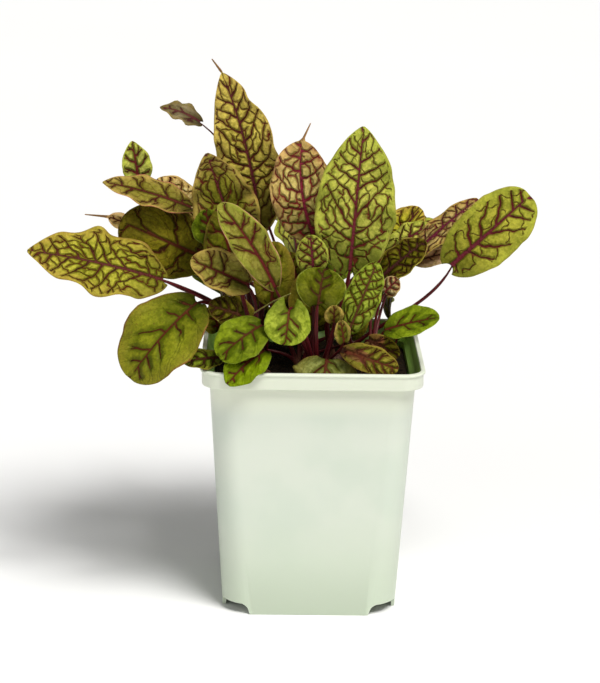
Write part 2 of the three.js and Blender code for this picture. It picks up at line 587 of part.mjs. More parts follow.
// root is the crown's place and radius its size; gap is the clearance under the blade
function stalkCurve(leaf, [cx, cy], radius, gap) {
  const axes = bladeAxes(leaf);
  const under = bladeFrame(leaf, axes, STALK_UNDERLAP / axes.length);
  const end = under.point.clone().addScaledVector(under.up, -gap);
  const towards = new THREE.Vector3(end.x - cx, end.y - cy, 0);
  const away = Math.min(towards.length(), 1);
  towards.normalize().multiplyScalar(away * radius * ROOT_SPREAD);
  const root = new THREE.Vector3(cx + towards.x, cy + towards.y, SOIL_TOP + 1);
  const run = root.distanceTo(end);
  const bend = vec(leaf.bend);
  const rise = new THREE.Vector3(towards.x * SPLAY, towards.y * SPLAY, 1).normalize();
  const first = root.clone().addScaledVector(rise, run * RISE_SHARE).add(bend);
  const second = end.clone().addScaledVector(under.along, -run * SWEEP_SHARE).add(bend);
  return new THREE.CubicBezierCurve3(root, first, second, end);
}

function stalkGeometry(leaf, curve) {
  const frames = curve.computeFrenetFrames(STALK_STEPS, false);
  const sides = leaf.width > 20 ? 5 : 4;
  const rings = [];
  for (let i = 0; i <= STALK_STEPS; i += 1) {
    const u = i / STALK_STEPS;
    const centre = curve.getPointAt(u);
    const ring = [];
    for (let k = 0; k < sides; k += 1) {
      const angle = 2 * Math.PI * k / sides;
      ring.push(centre.clone()
        .addScaledVector(frames.normals[i], stalkRadius(leaf, u) * Math.cos(angle))
        .addScaledVector(frames.binormals[i], stalkRadius(leaf, u) * Math.sin(angle)).toArray());
    }
    rings.push(ring);
  }
  return ringsGeometry(rings);
}

function crownGeometry(name, leaves) {
  let crown = toSolid(crownKnob(CROWNS[name], CROWN_RADIUS));
  for (const leaf of leaves.filter((one) => one.crown === name)) {
    const gap = stalkRadius(leaf, 1) + BLADE_THICKNESS / 2 + CLEARANCE;
    const curve = stalkCurve(leaf, CROWNS[name], CROWN_RADIUS, gap);
    crown = crown.add(toSolid(stalkGeometry(leaf, curve)));
  }
  return toGeometry(crown);
}

// A young plant's stalks run into its blades, sunk by this share of their radius
const YOUNG_SINK = 0.6;

function youngGeometry({ root, leaves: rows }) {
  let plant = toSolid(crownKnob(root, YOUNG_RADIUS));
  for (const row of rows) {
    const leaf = leafOf({ shape: 'young', ...row });
    const curve = stalkCurve(leaf, root, YOUNG_RADIUS, stalkRadius(leaf, 1) * YOUNG_SINK);
    plant = plant.add(toSolid(stalkGeometry(leaf, curve))).add(toSolid(bladeGeometry(leaf)));
  }
  return toGeometry(plant);
}

// The whole object
function piece(name, geometry, color, roughness) {
  const material = new THREE.MeshStandardMaterial({ color, roughness, metalness: 0 });
  const mesh = new THREE.Mesh(geometry, material);
  mesh.name = name;
  return mesh;
}

const sorrel = new THREE.Group();
sorrel.name = 'potted_sorrel';
const leaves = LEAVES.map(leafOf);
sorrel.add(piece('pot', potGeometry(), 0xdde4d4, 0.4));
sorrel.add(piece('soil', soilGeometry(), 0x1c140a, 0.95));
for (const name of Object.keys(CROWNS)) {
  sorrel.add(piece(`crown_${name}`, crownGeometry(name, leaves), 0x5a1a2a, 0.5));
}
for (const [name, plant] of Object.entries(YOUNG)) {
  sorrel.add(piece(name, youngGeometry(plant), plant.color, 0.5));
}
for (const leaf of leaves) {
  sorrel.add(piece(`leaf_${leaf.name}`, bladeGeometry(leaf), TONES[leaf.tone], 0.5));
}

export default sorrel;
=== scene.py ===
# Looks of the potted red-veined sorrel: a pale square pot, peat, red leaf stalks and veined blades.
# The leaves repeat the solids' own rules, finer, so each fine piece lies where its solid does.
# Lengths are millimetres here and become metres as each mesh is made.
import math
import operator
import random

import bpy
import numpy as np
from mathutils import Matrix, Vector


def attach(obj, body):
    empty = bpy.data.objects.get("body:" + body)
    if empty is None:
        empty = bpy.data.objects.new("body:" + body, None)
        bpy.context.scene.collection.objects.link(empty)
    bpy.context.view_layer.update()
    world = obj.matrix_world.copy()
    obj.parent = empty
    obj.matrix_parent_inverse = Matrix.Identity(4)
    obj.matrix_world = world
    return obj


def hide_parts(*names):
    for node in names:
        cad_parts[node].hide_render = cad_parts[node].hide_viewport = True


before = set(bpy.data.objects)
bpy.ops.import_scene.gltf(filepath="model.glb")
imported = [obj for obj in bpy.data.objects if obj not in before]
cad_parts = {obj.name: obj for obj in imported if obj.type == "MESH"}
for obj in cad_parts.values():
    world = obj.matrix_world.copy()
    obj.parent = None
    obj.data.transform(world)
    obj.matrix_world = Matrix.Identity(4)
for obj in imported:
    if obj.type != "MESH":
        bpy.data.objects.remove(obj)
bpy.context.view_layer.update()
MM = 0.001

# Pot and soil
POT_HEIGHT = 130.0
RIM_WIDTH = 109.4
RIM_HEIGHT = 8.6
LIP_OUT = 0.8
LIP_HEIGHT = 1.2
BODY_TOP_WIDTH = 102.0
BODY_BASE_WIDTH = 88.0
BODY_TOP_CORNER = 12.0
BODY_BASE_CORNER = 16.0
RIM_CORNER = 11.0
WALL = 1.6
FLOOR_UNDERSIDE = 3.2
FLOOR_THICKNESS = 1.8
FOOT_WIDTH = 60.0
NOTCH_HEIGHT = 5.6
NOTCH_SLOPE = 4.0
CENTRE_FOOT_RADIUS = 7.5
SOIL_TOP = 119.5
SOIL_SWELL = 1.1
SOIL_EDGE_DROP = 2.0
SOIL_GAP = 0.35
SOIL_SEED = 11
CRUMB_COUNT = 900
RIM_BOTTOM = POT_HEIGHT - RIM_HEIGHT

# Leaves
BLADE_THICKNESS = 0.34
SOLID_THICKNESS = 0.7
UNDER_MARK = 2.0
LEAST_HALF = 0.12
FEWEST_LATERALS = 3.3
SIDE_SHIFT = (0.35, 0.8)
SPIKE_ROWS = 7
STALK_RADIUS = 1.25
STALK_CLEARANCE = 0.35
STALK_UNDERLAP = 2.0
STALK_END_GAP = 0.35
YOUNG_STALK_GAP = 0.6
CROWN_RADIUS = 4.4
YOUNG_RADIUS = 2.8
YOUNG_SEED = 60
CROWN_RISE = 4.2

CROWNS = {
    "front_left": (-24, -25),
    "front_mid": (3, -26),
    "front_right": (28, -23),
    "mid_left": (-25, 4),
    "mid_right": (13, 6),
    "back": (-2, 32),
}

SHAPES = {
    "tall": dict(swell=0.6, taper=0.8, lobe=3, waves=3.2, wave=0.1),
    "broad": dict(swell=0.55, taper=0.6, lobe=3, waves=2.6, wave=0.08),
    "round": dict(swell=0.5, taper=0.5, lobe=2, waves=2, wave=0.05),
    "lance": dict(swell=0.65, taper=0.9, lobe=2, waves=3, wave=0.09),
    "small": dict(swell=0.5, taper=0.62, lobe=1.2, waves=2, wave=0.05),
    "young": dict(swell=0.5, taper=0.6, lobe=0, waves=1, wave=0, arch=0.1, fold=0.2),
}

# What a leaf's skin is unless its look or its own row says otherwise. tone scales all its colours.
# lean is how steeply the laterals rise, reach how far out they loop or run, end where the net stops,
# and lateral and midrib are half widths of veins at their feet (mm). cell is the size of the net's
# meshes (mm) and open the share of them without a middle vein. pucker is how far the skin swells
# between veins (mm). stain is a maroon patch: its strength, half width (mm) and end. The base is
# darkened with painted shade, by deep, up to deep_to of the length.
SKIN = dict(tone=1.0, lean=0.8, reach=0.64, end=0.88, lateral=0.47, midrib=0.85, cell=6.0, open=0.15,
            pucker=0.9, speckle=0.0, gloss=0.0, stain=(0, 1, 1), deep=0.6, deep_to=0.42, hem=0.55,
            hem_colour=(140, 98, 56))

# green and light are the skin's own two colours, spacing is the distance between lateral veins (mm),
# net how strongly the fine net shows, bronze how strongly the margin and the tip take the edge
# colour, and hem how strongly the very edge takes the hem colour.
LOOKS = {
    "olive": dict(green=(108, 96, 2), light=(214, 190, 82), edge=(198, 166, 88), vein=(66, 12, 16),
                  spacing=11.0, net=1.0, bronze=0.7),
    "bronze": dict(green=(98, 101, 0), light=(196, 186, 50), edge=(180, 142, 66), vein=(66, 10, 14),
                   spacing=10.0, net=1.0, bronze=0.7),
    "pink": dict(green=(108, 116, 28), light=(222, 206, 132), edge=(206, 152, 100), vein=(98, 8, 30),
                 spacing=8.5, net=1.0, bronze=0.7, lean=0.35, lateral=0.62, hem_colour=(150, 96, 66)),
    "green": dict(green=(80, 98, 0), light=(200, 196, 86), edge=(158, 166, 58), vein=(78, 13, 22),
                  spacing=10.5, net=0.9, bronze=0.7, reach=0.64, hem_colour=(140, 126, 60)),
    "plain": dict(green=(63, 70, 0), light=(138, 130, 32), edge=(128, 104, 34), vein=(66, 16, 12),
                  spacing=10.0, net=0.0, bronze=0.5, reach=0.7, pucker=0.4, speckle=0.5, lateral=0.52),
    "bright": dict(green=(58, 76, 0), light=(130, 146, 24), edge=(104, 126, 8), vein=(72, 22, 14),
                   spacing=10.0, net=0.0, bronze=0.2, reach=0.62, pucker=0.5, hem_colour=(120, 136, 50),
                   lateral=0.52),
    "dark": dict(green=(44, 42, 0), light=(96, 92, 12), edge=(76, 56, 16), vein=(44, 8, 8), spacing=9.0,
                 net=0.4, bronze=0.5),
}


def leaf(name, crown, shape, look, base, tip, face, width, **more):
    row = dict(fold=0, arch=0.03, sway=0, phase=0, spike=None, stalk=1, bend=(0, 0, 0), dips=())
    row |= SKIN | SHAPES[shape] | LOOKS[look]
    row.update(name=name, crown=crown, look=look, base=base, tip=tip, face=face, width=width)
    return row | more


LEAVES = [
    leaf("tall_left", "mid_left", "tall", "olive", (-27, 17, 188), (-47, 21, 266), (-0.1, -1, 0.2), 33,
         fold=0.1, arch=0.05, sway=0.04, phase=0.45, spike=(-5, -2, 7),
         dips=((1, 0.79, 0.05, 0.16), (1, 0.5, 0.06, 0.1)), green=(102, 92, 2), light=(214, 194, 88),
         bronze=0.5, spacing=8.5, end=0.93, cell=6.4, open=0.1, deep=0.75, deep_to=0.5),
    leaf("tall_mid", "mid_right", "broad", "pink", (0, 0, 187), (-6, 14, 233), (-0.1, -0.9, 0.4), 33,
         fold=0.15, arch=0.08, sway=-0.06, phase=0.3, spike=(4, 2, 8.5), swell=0.5, tone=0.93,
         green=(103, 98, 16), light=(212, 190, 112), bronze=0.55, end=0.95, cell=5.6, open=0.2),
    leaf("tall_right", "front_mid", "tall", "green", (18, -18, 173), (24, -4, 244), (0, -1, 0.25), 42,
         fold=0.12, arch=0.03, phase=0.6, dips=((1, 0.5, 0.07, 0.05),), tone=0.98, spacing=9.0, open=0.2,
         deep=0.75, deep_to=0.5),
    leaf("tall_low", "mid_left", "tall", "olive", (-38, -4, 184), (-54, -1, 229), (-0.1, -1, 0.2), 34,
         fold=0.08, phase=0.2, swell=0.45, tone=0.73, green=(82, 84, 2), light=(150, 144, 44),
         spacing=13.0),
    leaf("left_long", "mid_left", "tall", "bronze", (-75, -12, 166), (-142, -24, 183), (-0.1, -0.75, 0.65),
         37, fold=0.12, arch=0.05, phase=0.4, dips=((1, 0.45, 0.05, 0.1), (-1, 0.25, 0.05, 0.06)),
         light=(186, 180, 60), bronze=0.5, spacing=8.5, cell=6.2, open=0.2),
    leaf("left_round", "front_left", "round", "plain", (-57, -32, 160), (-90, -46, 124), (-0.35, -0.8, 0.5),
         42, fold=0.1, arch=0.08, phase=0.1, tone=1.12, green=(61, 75, 0), light=(124, 127, 24),
         edge=(128, 112, 40), vein=(70, 24, 14), bronze=0.4, hem_colour=(118, 62, 40), hem=0.8, lean=0.65,
         lateral=0.46, midrib=0.7, speckle=0.7),
    leaf("left_dark", "mid_left", "round", "dark", (-54, 14, 171), (-98, 10, 191), (0, -0.9, 0.3), 38,
         fold=-0.08, arch=0.06, phase=0.7, tone=1.08, green=(64, 60, 2), light=(118, 108, 20),
         vein=(60, 12, 10), spacing=15.0, lean=0.6),
    leaf("left_pale", "mid_left", "tall", "olive", (-62, 13, 198), (-107, 11, 211), (0, -0.55, 0.8), 21,
         fold=0.12, arch=0.04, phase=0.2, wave=0.05, tone=0.92, green=(98, 90, 6), light=(150, 139, 54),
         hem_colour=(178, 92, 88), hem=0.8, net=0.35),
    leaf("left_lobe", "mid_left", "small", "bright", (-51, -13, 186), (-54, -14, 203), (0.1, -0.9, 0.4), 18,
         tone=0.6, vein=(60, 10, 10), spacing=7.0, lateral=0.7),
    leaf("left_folded", "back", "lance", "green", (-89, 26, 207), (-93, 30, 229), (0.2, -1, 0.2), 17,
         fold=0.35, tone=1.1, light=(200, 196, 96), net=0.2),
    leaf("left_orange", "back", "broad", "bronze", (-63, 25, 190), (-81, 29, 209), (0.1, -0.9, 0.5), 24,
         fold=0.1, tone=1.2, green=(150, 122, 30), light=(214, 200, 140), edge=(206, 158, 92), bronze=0.5),
    leaf("left_far", "back", "lance", "plain", (-58, 34, 238), (-79, 32, 246), (0, -0.6, 0.8), 14, fold=0.1,
         arch=0.1, green=(96, 84, 48), light=(142, 128, 96), vein=(74, 26, 34)),
    leaf("left_bud", "back", "small", "bronze", (-94, 26, 186), (-105, 26, 190), (0, -0.9, 0.4), 9,
         spike=(-12, 0, 1), tone=2.2, green=(132, 100, 46), light=(190, 168, 118), edge=(186, 150, 104),
         hem_colour=(186, 150, 104), lateral=0.2, midrib=0.3, net=0.0),
    leaf("front_pale", "front_mid", "lance", "green", (-19, -34, 168), (-47, -38, 211), (0.15, -1, 0.3), 20,
         fold=0.14, arch=0.06, sway=0.03, phase=0.3, swell=0.6, taper=0.6, tone=0.8, green=(104, 101, 8),
         light=(171, 162, 72), hem_colour=(196, 128, 112), hem=0.8, spacing=11.0, net=0.3),
    leaf("front_dark", "front_left", "tall", "dark", (-38, -16, 168), (-48, -14, 204), (0, -1, 0.1), 25,
         fold=0.1, tone=0.9, green=(66, 68, 2), light=(104, 106, 18), vein=(70, 10, 14)),
    leaf("front_folded", "front_left", "broad", "olive", (-33, -28, 168), (-61, -36, 182),
         (-0.2, -0.8, 0.6), 24, fold=0.35, phase=0.3, tone=0.76, green=(104, 99, 8), light=(170, 160, 72),
         lean=0.6, net=0.4),
    leaf("front_hidden", "front_left", "small", "dark", (-36, -34, 154), (-52, -38, 160), (-0.1, -0.8, 0.5),
         15),
    leaf("front_round", "front_left", "round", "bright", (-25, -45, 152), (-46, -57, 138),
         (-0.2, -0.8, 0.5), 24, fold=0.08, arch=0.1, tone=0.92, vein=(62, 16, 10), spacing=8.5, reach=0.72,
         lateral=0.5, midrib=0.6),
    leaf("front_over_rim", "front_left", "broad", "bright", (-24, -48, 140), (-42, -62, 126),
         (-0.2, -0.8, 0.5), 19, arch=0.12, green=(84, 98, 0), light=(132, 156, 10)),
    leaf("front_corner", "front_left", "small", "dark", (-45, -44, 135), (-64, -50, 134), (0, -0.5, 0.8),
         14, tone=1.7, green=(44, 52, 0), light=(92, 104, 22)),
    leaf("mid_bright", "front_mid", "round", "bright", (-12, -45, 160), (-14, -54, 144), (0, -0.8, 0.5), 24,
         fold=0.2, lobe=7, tone=1.45, light=(150, 160, 52), lateral=0.4, midrib=0.6, gloss=0.14),
    leaf("mid_round", "front_mid", "round", "bright", (2, -34, 159), (5, -24, 176), (0.1, -0.9, 0.4), 26,
         fold=0.1, tone=0.88, green=(48, 54, 0), light=(112, 116, 18), vein=(52, 8, 8),
         hem_colour=(150, 158, 70), hem=0.9, spacing=8.0, lateral=0.5, midrib=0.6),
    leaf("mid_upright", "front_mid", "small", "green", (0, -22, 173), (-2, -24, 193), (0, -1, 0.2), 17,
         tone=0.92, spacing=5.0, lateral=0.4, midrib=0.6, cell=4.2, open=0.5),
    leaf("mid_low", "front_mid", "round", "plain", (7, -40, 134), (5, -50, 124), (0, -0.6, 0.8), 33,
         fold=-0.1, green=(80, 88, 18), light=(156, 160, 88)),
    leaf("mid_tiny", "front_mid", "small", "olive", (10, -40, 152), (10, -43, 162), (0, -0.8, 0.5), 10,
         tone=0.88, green=(92, 88, 8), light=(160, 146, 60), vein=(66, 24, 12), lateral=0.3, midrib=0.5,
         net=0.0),
    leaf("mid_edge", "front_left", "small", "bright", (-29, -40, 157), (-11, -40, 167), (-0.5, 0.25, 1), 5,
         green=(150, 142, 56), light=(190, 182, 104)),
    leaf("right_crinkled", "front_right", "broad", "bright", (18, -36, 148), (31, -30, 181), (0.1, -1, 0.3),
         18, wave=0.12, waves=4, tone=0.93, green=(84, 100, 4), light=(166, 180, 62), vein=(70, 34, 14),
         spacing=6.0, lateral=0.26, midrib=0.45, net=0.9, cell=3.6, open=0.1, pucker=0.9, gloss=0.14),
    leaf("right_oval", "front_right", "broad", "bright", (35, -34, 147), (62, -42, 156), (0, -0.6, 0.8), 20,
         fold=0.15, wave=0.02, lobe=0.5, tone=1.15, lateral=0.34, midrib=0.7),
    leaf("right_low", "front_right", "broad", "plain", (16, -45, 139), (42, -49, 131), (0.1, -0.9, 0.45),
         15, fold=0.1, tone=0.95, green=(76, 84, 6), light=(140, 132, 44), spacing=6, lateral=0.47, net=0.5,
         stain=(0.7, 4, 0.5)),
    leaf("right_small", "front_mid", "small", "olive", (15, -44, 143), (13, -45, 155), (0.3, -0.9, 0.2), 9,
         tone=0.68, green=(84, 92, 4), light=(150, 146, 50), vein=(66, 24, 12), lateral=0.3, midrib=0.5,
         net=0.0),
    leaf("right_maroon", "front_right", "small", "dark", (27, -37, 143), (43, -38, 135), (0.2, -1, 0.1), 12,
         tone=1.5, green=(70, 66, 4), light=(118, 112, 24), stain=(0.6, 6, 0.5)),
    leaf("right_long", "front_right", "lance", "bronze", (46, 9, 170), (84, 15, 204), (-0.3, -0.8, 0.5), 14,
         fold=0.1, arch=0.05, phase=0.1, taper=0.6, lobe=0.5, green=(120, 98, 34), light=(196, 170, 104),
         vein=(84, 12, 34), cell=4.6),
    leaf("right_net", "front_right", "broad", "dark", (35, -3, 167), (57, 1, 185), (-0.3, -0.8, 0.5), 18,
         fold=0.12, phase=0.6, tone=1.45, hem_colour=(176, 160, 74), hem=0.9, spacing=6.5, net=1.0,
         cell=4.0),
    leaf("right_round", "mid_right", "round", "green", (69, -8, 174), (108, -6, 210.5), (0.05, -1, 0.2), 33,
         fold=0.08, phase=0.5, swell=0.42, taper=0.4, lobe=3, stalk=0.7, bend=(6, 0, -10), tone=1.04,
         green=(83, 88, 0), light=(178, 172, 60), vein=(80, 12, 24), bronze=0.4, spacing=8.5, lean=0.75,
         reach=0.84, end=0.78, lateral=0.52, midrib=1.1, net=0.8, cell=8.6, open=1.0, pucker=0.6),
    leaf("right_under", "mid_right", "small", "dark", (52, 18, 170), (73, 21, 175), (0, -0.8, 0.5), 11,
         tone=2.3, green=(120, 92, 56), light=(176, 150, 116), lateral=0.3, midrib=0.5, net=0.0,
         stain=(0.4, 4, 2)),
    leaf("right_back", "back", "broad", "bronze", (37, 22, 175), (56, 28, 196), (0, -1, 0.3), 20, tone=1.15,
         cell=5.0),
    leaf("right_grey", "mid_right", "broad", "green", (40, 18, 176), (60, 20, 189), (0, -0.8, 0.6), 16,
         tone=1.2),
    leaf("right_pink", "front_right", "small", "pink", (36, -10, 160), (43, -11, 168), (-0.4, -0.8, 0.3),
         11, tone=1.12, green=(140, 120, 66), light=(214, 196, 136), vein=(96, 26, 26), bronze=0.3,
         hem_colour=(170, 140, 96), lateral=0.3, midrib=0.5, net=0.6, cell=4.0),
    leaf("back_high_left", "back", "tall", "olive", (-26, 40, 182), (-36, 60, 236), (-0.5, -0.9, 0.3), 34,
         fold=0.12, arch=0.05, phase=0.2),
    leaf("back_high_mid", "back", "tall", "green", (6, 44, 176), (16, 62, 214), (0.7, -0.8, 0.4), 32,
         fold=0.1, arch=0.08, phase=0.7),
    leaf("back_left_long", "back", "tall", "olive", (-44, 44, 160), (-86, 76, 176), (-0.4, -0.7, 0.8), 34,
         fold=0.12, arch=0.08, phase=0.5),
    leaf("back_mid_long", "back", "tall", "green", (-8, 56, 158), (-18, 104, 176), (0.8, -0.3, 0.8), 34,
         fold=0.12, arch=0.1, phase=0.1),
    leaf("back_right_long", "back", "tall", "bronze", (30, 50, 160), (62, 84, 180), (0.5, -0.6, 0.8), 32,
         fold=0.12, arch=0.1, phase=0.9),
    leaf("back_right_side", "back", "broad", "green", (48, 32, 172), (90, 46, 182), (-0.1, -0.5, 0.9), 28,
         fold=0.1, arch=0.06, phase=0.4),
    leaf("back_low_left", "back", "round", "bright", (-28, 55, 138), (-40, 73, 123), (-0.2, 0.7, 0.6), 24,
         arch=0.1),
    leaf("back_low_right", "back", "round", "bright", (20, 55, 139), (30, 74, 124), (0.2, 0.7, 0.6), 26,
         arch=0.1),
]

# Young plants low in the bunch: place of the crown, look, and each leaf's base, tip, face and width
YOUNG = {
    "young_middle": ((-6, -10), "plain", [
        ((-21, -8, 152), (-19, 0, 184), (0.1, -1, 0.1), 22),
        ((1, -10, 142), (-3, -6, 170), (0, -1, 0.2), 24),
        ((19, -13, 136), (23, -12, 164), (0.1, -1, 0.2), 16),
        ((-32, -14, 134), (-40, -10, 158), (0, -1, 0.2), 18),
        ((-8, -1, 164), (-12, 2, 178), (0.2, -1, 0.2), 11)]),
    "young_inner": ((-3, 17), "dark", [
        ((-12, 13, 132), (-15, 15, 153), (0.1, -1, 0.1), 20),
        ((1, 13, 134), (3, 15, 157), (0, -1, 0.1), 25),
        ((17, 16, 134), (22, 19, 155), (-0.1, -1, 0.1), 22),
        ((-27, 22, 134), (-33, 24, 150), (0.1, -1, 0.1), 17)]),
    "young_right": ((40, 15), "plain", [
        ((41, 20, 138), (46, 22, 162), (-1, -0.2, 0.2), 19),
        ((46, 24, 134), (59, 34, 140), (-0.5, -0.4, 0.8), 15),
        ((44, 10, 130), (50, 20, 138), (-0.6, -0.4, 0.7), 12)]),
    "young_left": ((-40, 10), "plain", [
        ((-51, 4, 138), (-68, 6, 131), (0.3, -0.2, 0.9), 18),
        ((-50, 18, 138), (-67, 27, 134), (0.3, -0.2, 0.9), 19),
        ((-46, 25, 146), (-54, 29, 168), (1, -0.3, 0.4), 19),
        ((-47, -5, 138), (-52, -8, 152), (0.1, -0.8, 0.4), 15)]),
    "young_back_left": ((-26, 36), "bright", [
        ((-36, 46, 148), (-54, 62, 145), (0.4, -0.4, 0.9), 21),
        ((-23, 44, 150), (-26, 64, 154), (0, -0.4, 0.9), 20),
        ((-42, 38, 146), (-62, 46, 155), (0.4, -0.4, 0.9), 20),
        ((-27, 46, 154), (-34, 58, 172), (0.2, -0.8, 0.6), 20)]),
    "young_back_right": ((22, 38), "bright", [
        ((28, 46, 142), (42, 61, 137), (-0.4, -0.4, 0.9), 20),
        ((12, 54, 150), (15, 72, 160), (0, -0.6, 0.8), 21),
        ((34, 40, 143), (45, 50, 151), (-0.4, -0.6, 0.8), 19),
        ((6, 50, 136), (2, 68, 134), (0, -0.4, 0.9), 19)]),
}


def unit(a):
    return a / np.maximum(np.linalg.norm(a, axis=-1, keepdims=True), 1e-9)


def dot(a, b):
    return (a * b).sum(-1, keepdims=True)


def smooth_step(low, high, x):
    t = np.clip((x - low) / (high - low), 0, 1)
    return t * t * (3 - 2 * t)


def blade_axes(row):
    base = np.array(row["base"], float)
    along = np.array(row["tip"], float) - base
    length = float(np.linalg.norm(along))
    along /= length
    across = unit(np.cross(along, np.array(row["face"], float)))
    up = np.cross(across, along)
    return dict(base=base, along=along, across=across, up=up, length=length)


def midrib(row, axes, s):
    """The midrib's points at shares s of its length, from the base to the tip."""
    s = np.asarray(s, float)[..., None]
    bow = 4 * s * (1 - s) * axes["length"]
    return (axes["base"] + axes["along"] * axes["length"] * s
            + axes["up"] * row["arch"] * bow + axes["across"] * row["sway"] * bow)


def blade_frame(row, axes, s):
    """Along, across and up at the midrib's points."""
    step = 1e-3
    along = unit(midrib(row, axes, s + step) - midrib(row, axes, s - step))
    across = unit(axes["across"] - along * dot(along, axes["across"]))
    return along, across, np.cross(across, along)


def half_width(row, s, least):
    """Half the blade's width at shares s, before its margins play."""
    widest = row["swell"] / (row["swell"] + row["taper"])
    share = np.clip(s, 0, 1)
    size = (share / widest) ** row["swell"] * ((1 - share) / (1 - widest)) ** row["taper"]
    return np.maximum(row["width"] / 2 * size, least)


def margin_play(row, s, side):
    """The outline's unevenness, different on the two sides and never outwards."""
    key = row["phase"] * 7 + len(row["name"]) + 2.1 * side
    wave = np.sin(17 * s + key) * 0.5 + np.sin(31 * s + 2.3 * key) * 0.3
    wave = wave + np.sin(53 * s + 4.1 * key) * 0.2
    play = 1 - 0.028 * (1 + wave)
    for dip_side, place, extent, depth in row["dips"]:
        play = play - depth * np.exp(-((s - place) / extent) ** 2) * (side == dip_side)
    return play


def blade_points(row, axes, s, v):
    """The blade's middle surface at shares s along and v (-1 to 1) across."""
    along, across, up = blade_frame(row, axes, s)
    reach = np.abs(v)
    side = np.sign(v)
    half = half_width(row, s, LEAST_HALF) * margin_play(row, s, side)
    ripple = np.sin(2 * np.pi * (row["waves"] * s + row["phase"]) + 1.3 * side)
    lift = row["wave"] * row["width"] * reach ** 2 * ripple * np.sin(np.pi * np.clip(s, 0, 1))
    back = row["lobe"] * reach ** 2.5 * (1 - s) ** 4
    return (midrib(row, axes, s) + across * (half * v * np.cos(row["fold"]))[..., None]
            + up * (half * reach * np.sin(row["fold"]) + lift)[..., None] - along * back[..., None])


def vein_slope(y, length, lean):
    """How far forward a lateral vein leans where it leaves the midrib y mm from the base."""
    return lean - (lean + 0.25) * np.exp(-np.maximum(y, 0) / (0.16 * length))


def vein_phase(x, y, row, length, spacing, lean):
    """Counts the lateral veins, whole numbers lying on a vein, and the distance along them in mm.
    x and y are mm on the flat blade."""
    x = np.abs(x)
    bend = 0.55 * (x / (row["width"] / 2)) ** 2

    def height(start):
        return start + x * (vein_slope(start, length, lean) + bend)

    low = np.zeros_like(x)
    high = np.full_like(x, 1.3 * length)
    for _ in range(26):
        middle = (low + high) / 2
        above = height(middle) > y
        high = np.where(above, middle, high)
        low = np.where(above, low, middle)
    start = np.where(height(np.zeros_like(x)) > y, y - height(np.zeros_like(x)), low)
    key = row["phase"] * 9 + len(row["name"])
    play = 0.22 * np.sin(0.2 * y + key) + 0.1 * np.sin(0.2 * x + 0.12 * y + 2 * key)
    return start / spacing + play, np.hypot(x, y - start)


def blade_stations(length, rows):
    """Places along the midrib, closer together near both ends."""
    even = np.linspace(0, 1, rows + 1)
    rounded = 0.5 - 0.5 * np.cos(np.pi * even)
    share = 0.4 * even + 0.6 * rounded
    return 0.4 / length + (1 - 0.7 / length) * share


def grid_faces(rows, columns, first, flip):
    """Quads of a grid of points with rows + 1 by columns + 1 points."""
    r, c = np.meshgrid(np.arange(rows), np.arange(columns), indexing="ij")
    a = (first + r * (columns + 1) + c).ravel()
    quads = np.stack([a, a + 1, a + columns + 2, a + columns + 1], 1)
    return quads[:, ::-1] if flip else quads


def border_loop(rows, columns):
    """The grid's outer points, once round."""
    width = columns + 1
    loop = list(range(columns))
    loop += [r * width + columns for r in range(rows)]
    loop += [rows * width + c for c in range(columns, 0, -1)]
    loop += [r * width for r in range(rows, 0, -1)]
    return np.array(loop)


def spike_rows(row, axes, steps):
    """The thin point that some tips run out into: centres, across, up and half widths."""
    reach = np.array(row["spike"], float)
    tip = midrib(row, axes, np.array([1.0]))[0]
    _, across, up = (a[0] for a in blade_frame(row, axes, np.array([0.99])))
    for i in range(1, steps + 1):
        u = i / steps
        yield u, tip + reach * u, across, up, 0.75 - 0.45 * u


class Sheet:
    """Collects vertices, faces and UV maps of blades and stalks for one mesh."""

    def __init__(self):
        self.points = []
        self.faces = []
        self.maps = {"vein": [], "flat": [], "span": [], "path": []}
        self.kinds = []
        self.count = 0

    def add(self, points, faces, kind, **maps):
        self.points.append(points)
        self.faces.append(faces + self.count)
        self.count += len(points)
        for key, values in self.maps.items():
            given = maps.get(key, np.zeros((4 * len(faces), 2)))
            values.append(given.reshape(-1, 2))
        self.kinds.append(np.full(len(faces), kind))

    def mesh(self, name):
        points = np.concatenate(self.points) * MM
        faces = np.concatenate(self.faces)
        mesh = mesh_of(name, points.tolist(), faces.tolist())
        for key, values in self.maps.items():
            layer = mesh.uv_layers.new(name=key, do_init=False)
            layer.uv.foreach_set("vector", np.concatenate(values).astype(np.float32).ravel())
        mesh.polygons.foreach_set("material_index", np.concatenate(self.kinds).astype(np.int32))
        mesh.polygons.foreach_set("use_smooth", np.ones(len(faces), bool))
        mesh.update()
        return mesh


def vein_layout(row, length, x, y):
    """Four measures of the laterals at flat places: their count, the width of the strip between two
    of them, the distance along them, and how far a crossing slides from one to the next."""
    spacing = min(row["spacing"], length / FEWEST_LATERALS)
    layout = (row, length, spacing, row["lean"])
    phase, path = vein_phase(x, y, *layout)
    slide = 0.4
    change_x = vein_phase(np.abs(x) + slide, y, *layout)[0] - phase
    change_y = vein_phase(x, y + slide, *layout)[0] - phase
    gap = slide / np.maximum(np.hypot(change_x, change_y), 1e-3)
    skew = np.sqrt(np.maximum(spacing ** 2 - gap ** 2, 0))
    return phase, gap, path, skew


def pucker_height(row, x, s, reach, count):
    """How far the skin swells up between the laterals, less on small blades and at the margins."""
    uneven = 0.62 + 0.38 * np.cos(1.4 * x + 2.4 * np.floor(count))
    swell = (0.5 - 0.5 * np.cos(2 * np.pi * count)) * uneven
    inside = smooth_step(0.03, 0.3, reach) * (1 - smooth_step(0.72, 1.0, reach))
    most = row["pucker"] * (swell - 0.35) * inside * min(1, row["width"] / 30)
    return most * np.sin(np.pi * np.clip(s, 0, 1)) ** 0.5


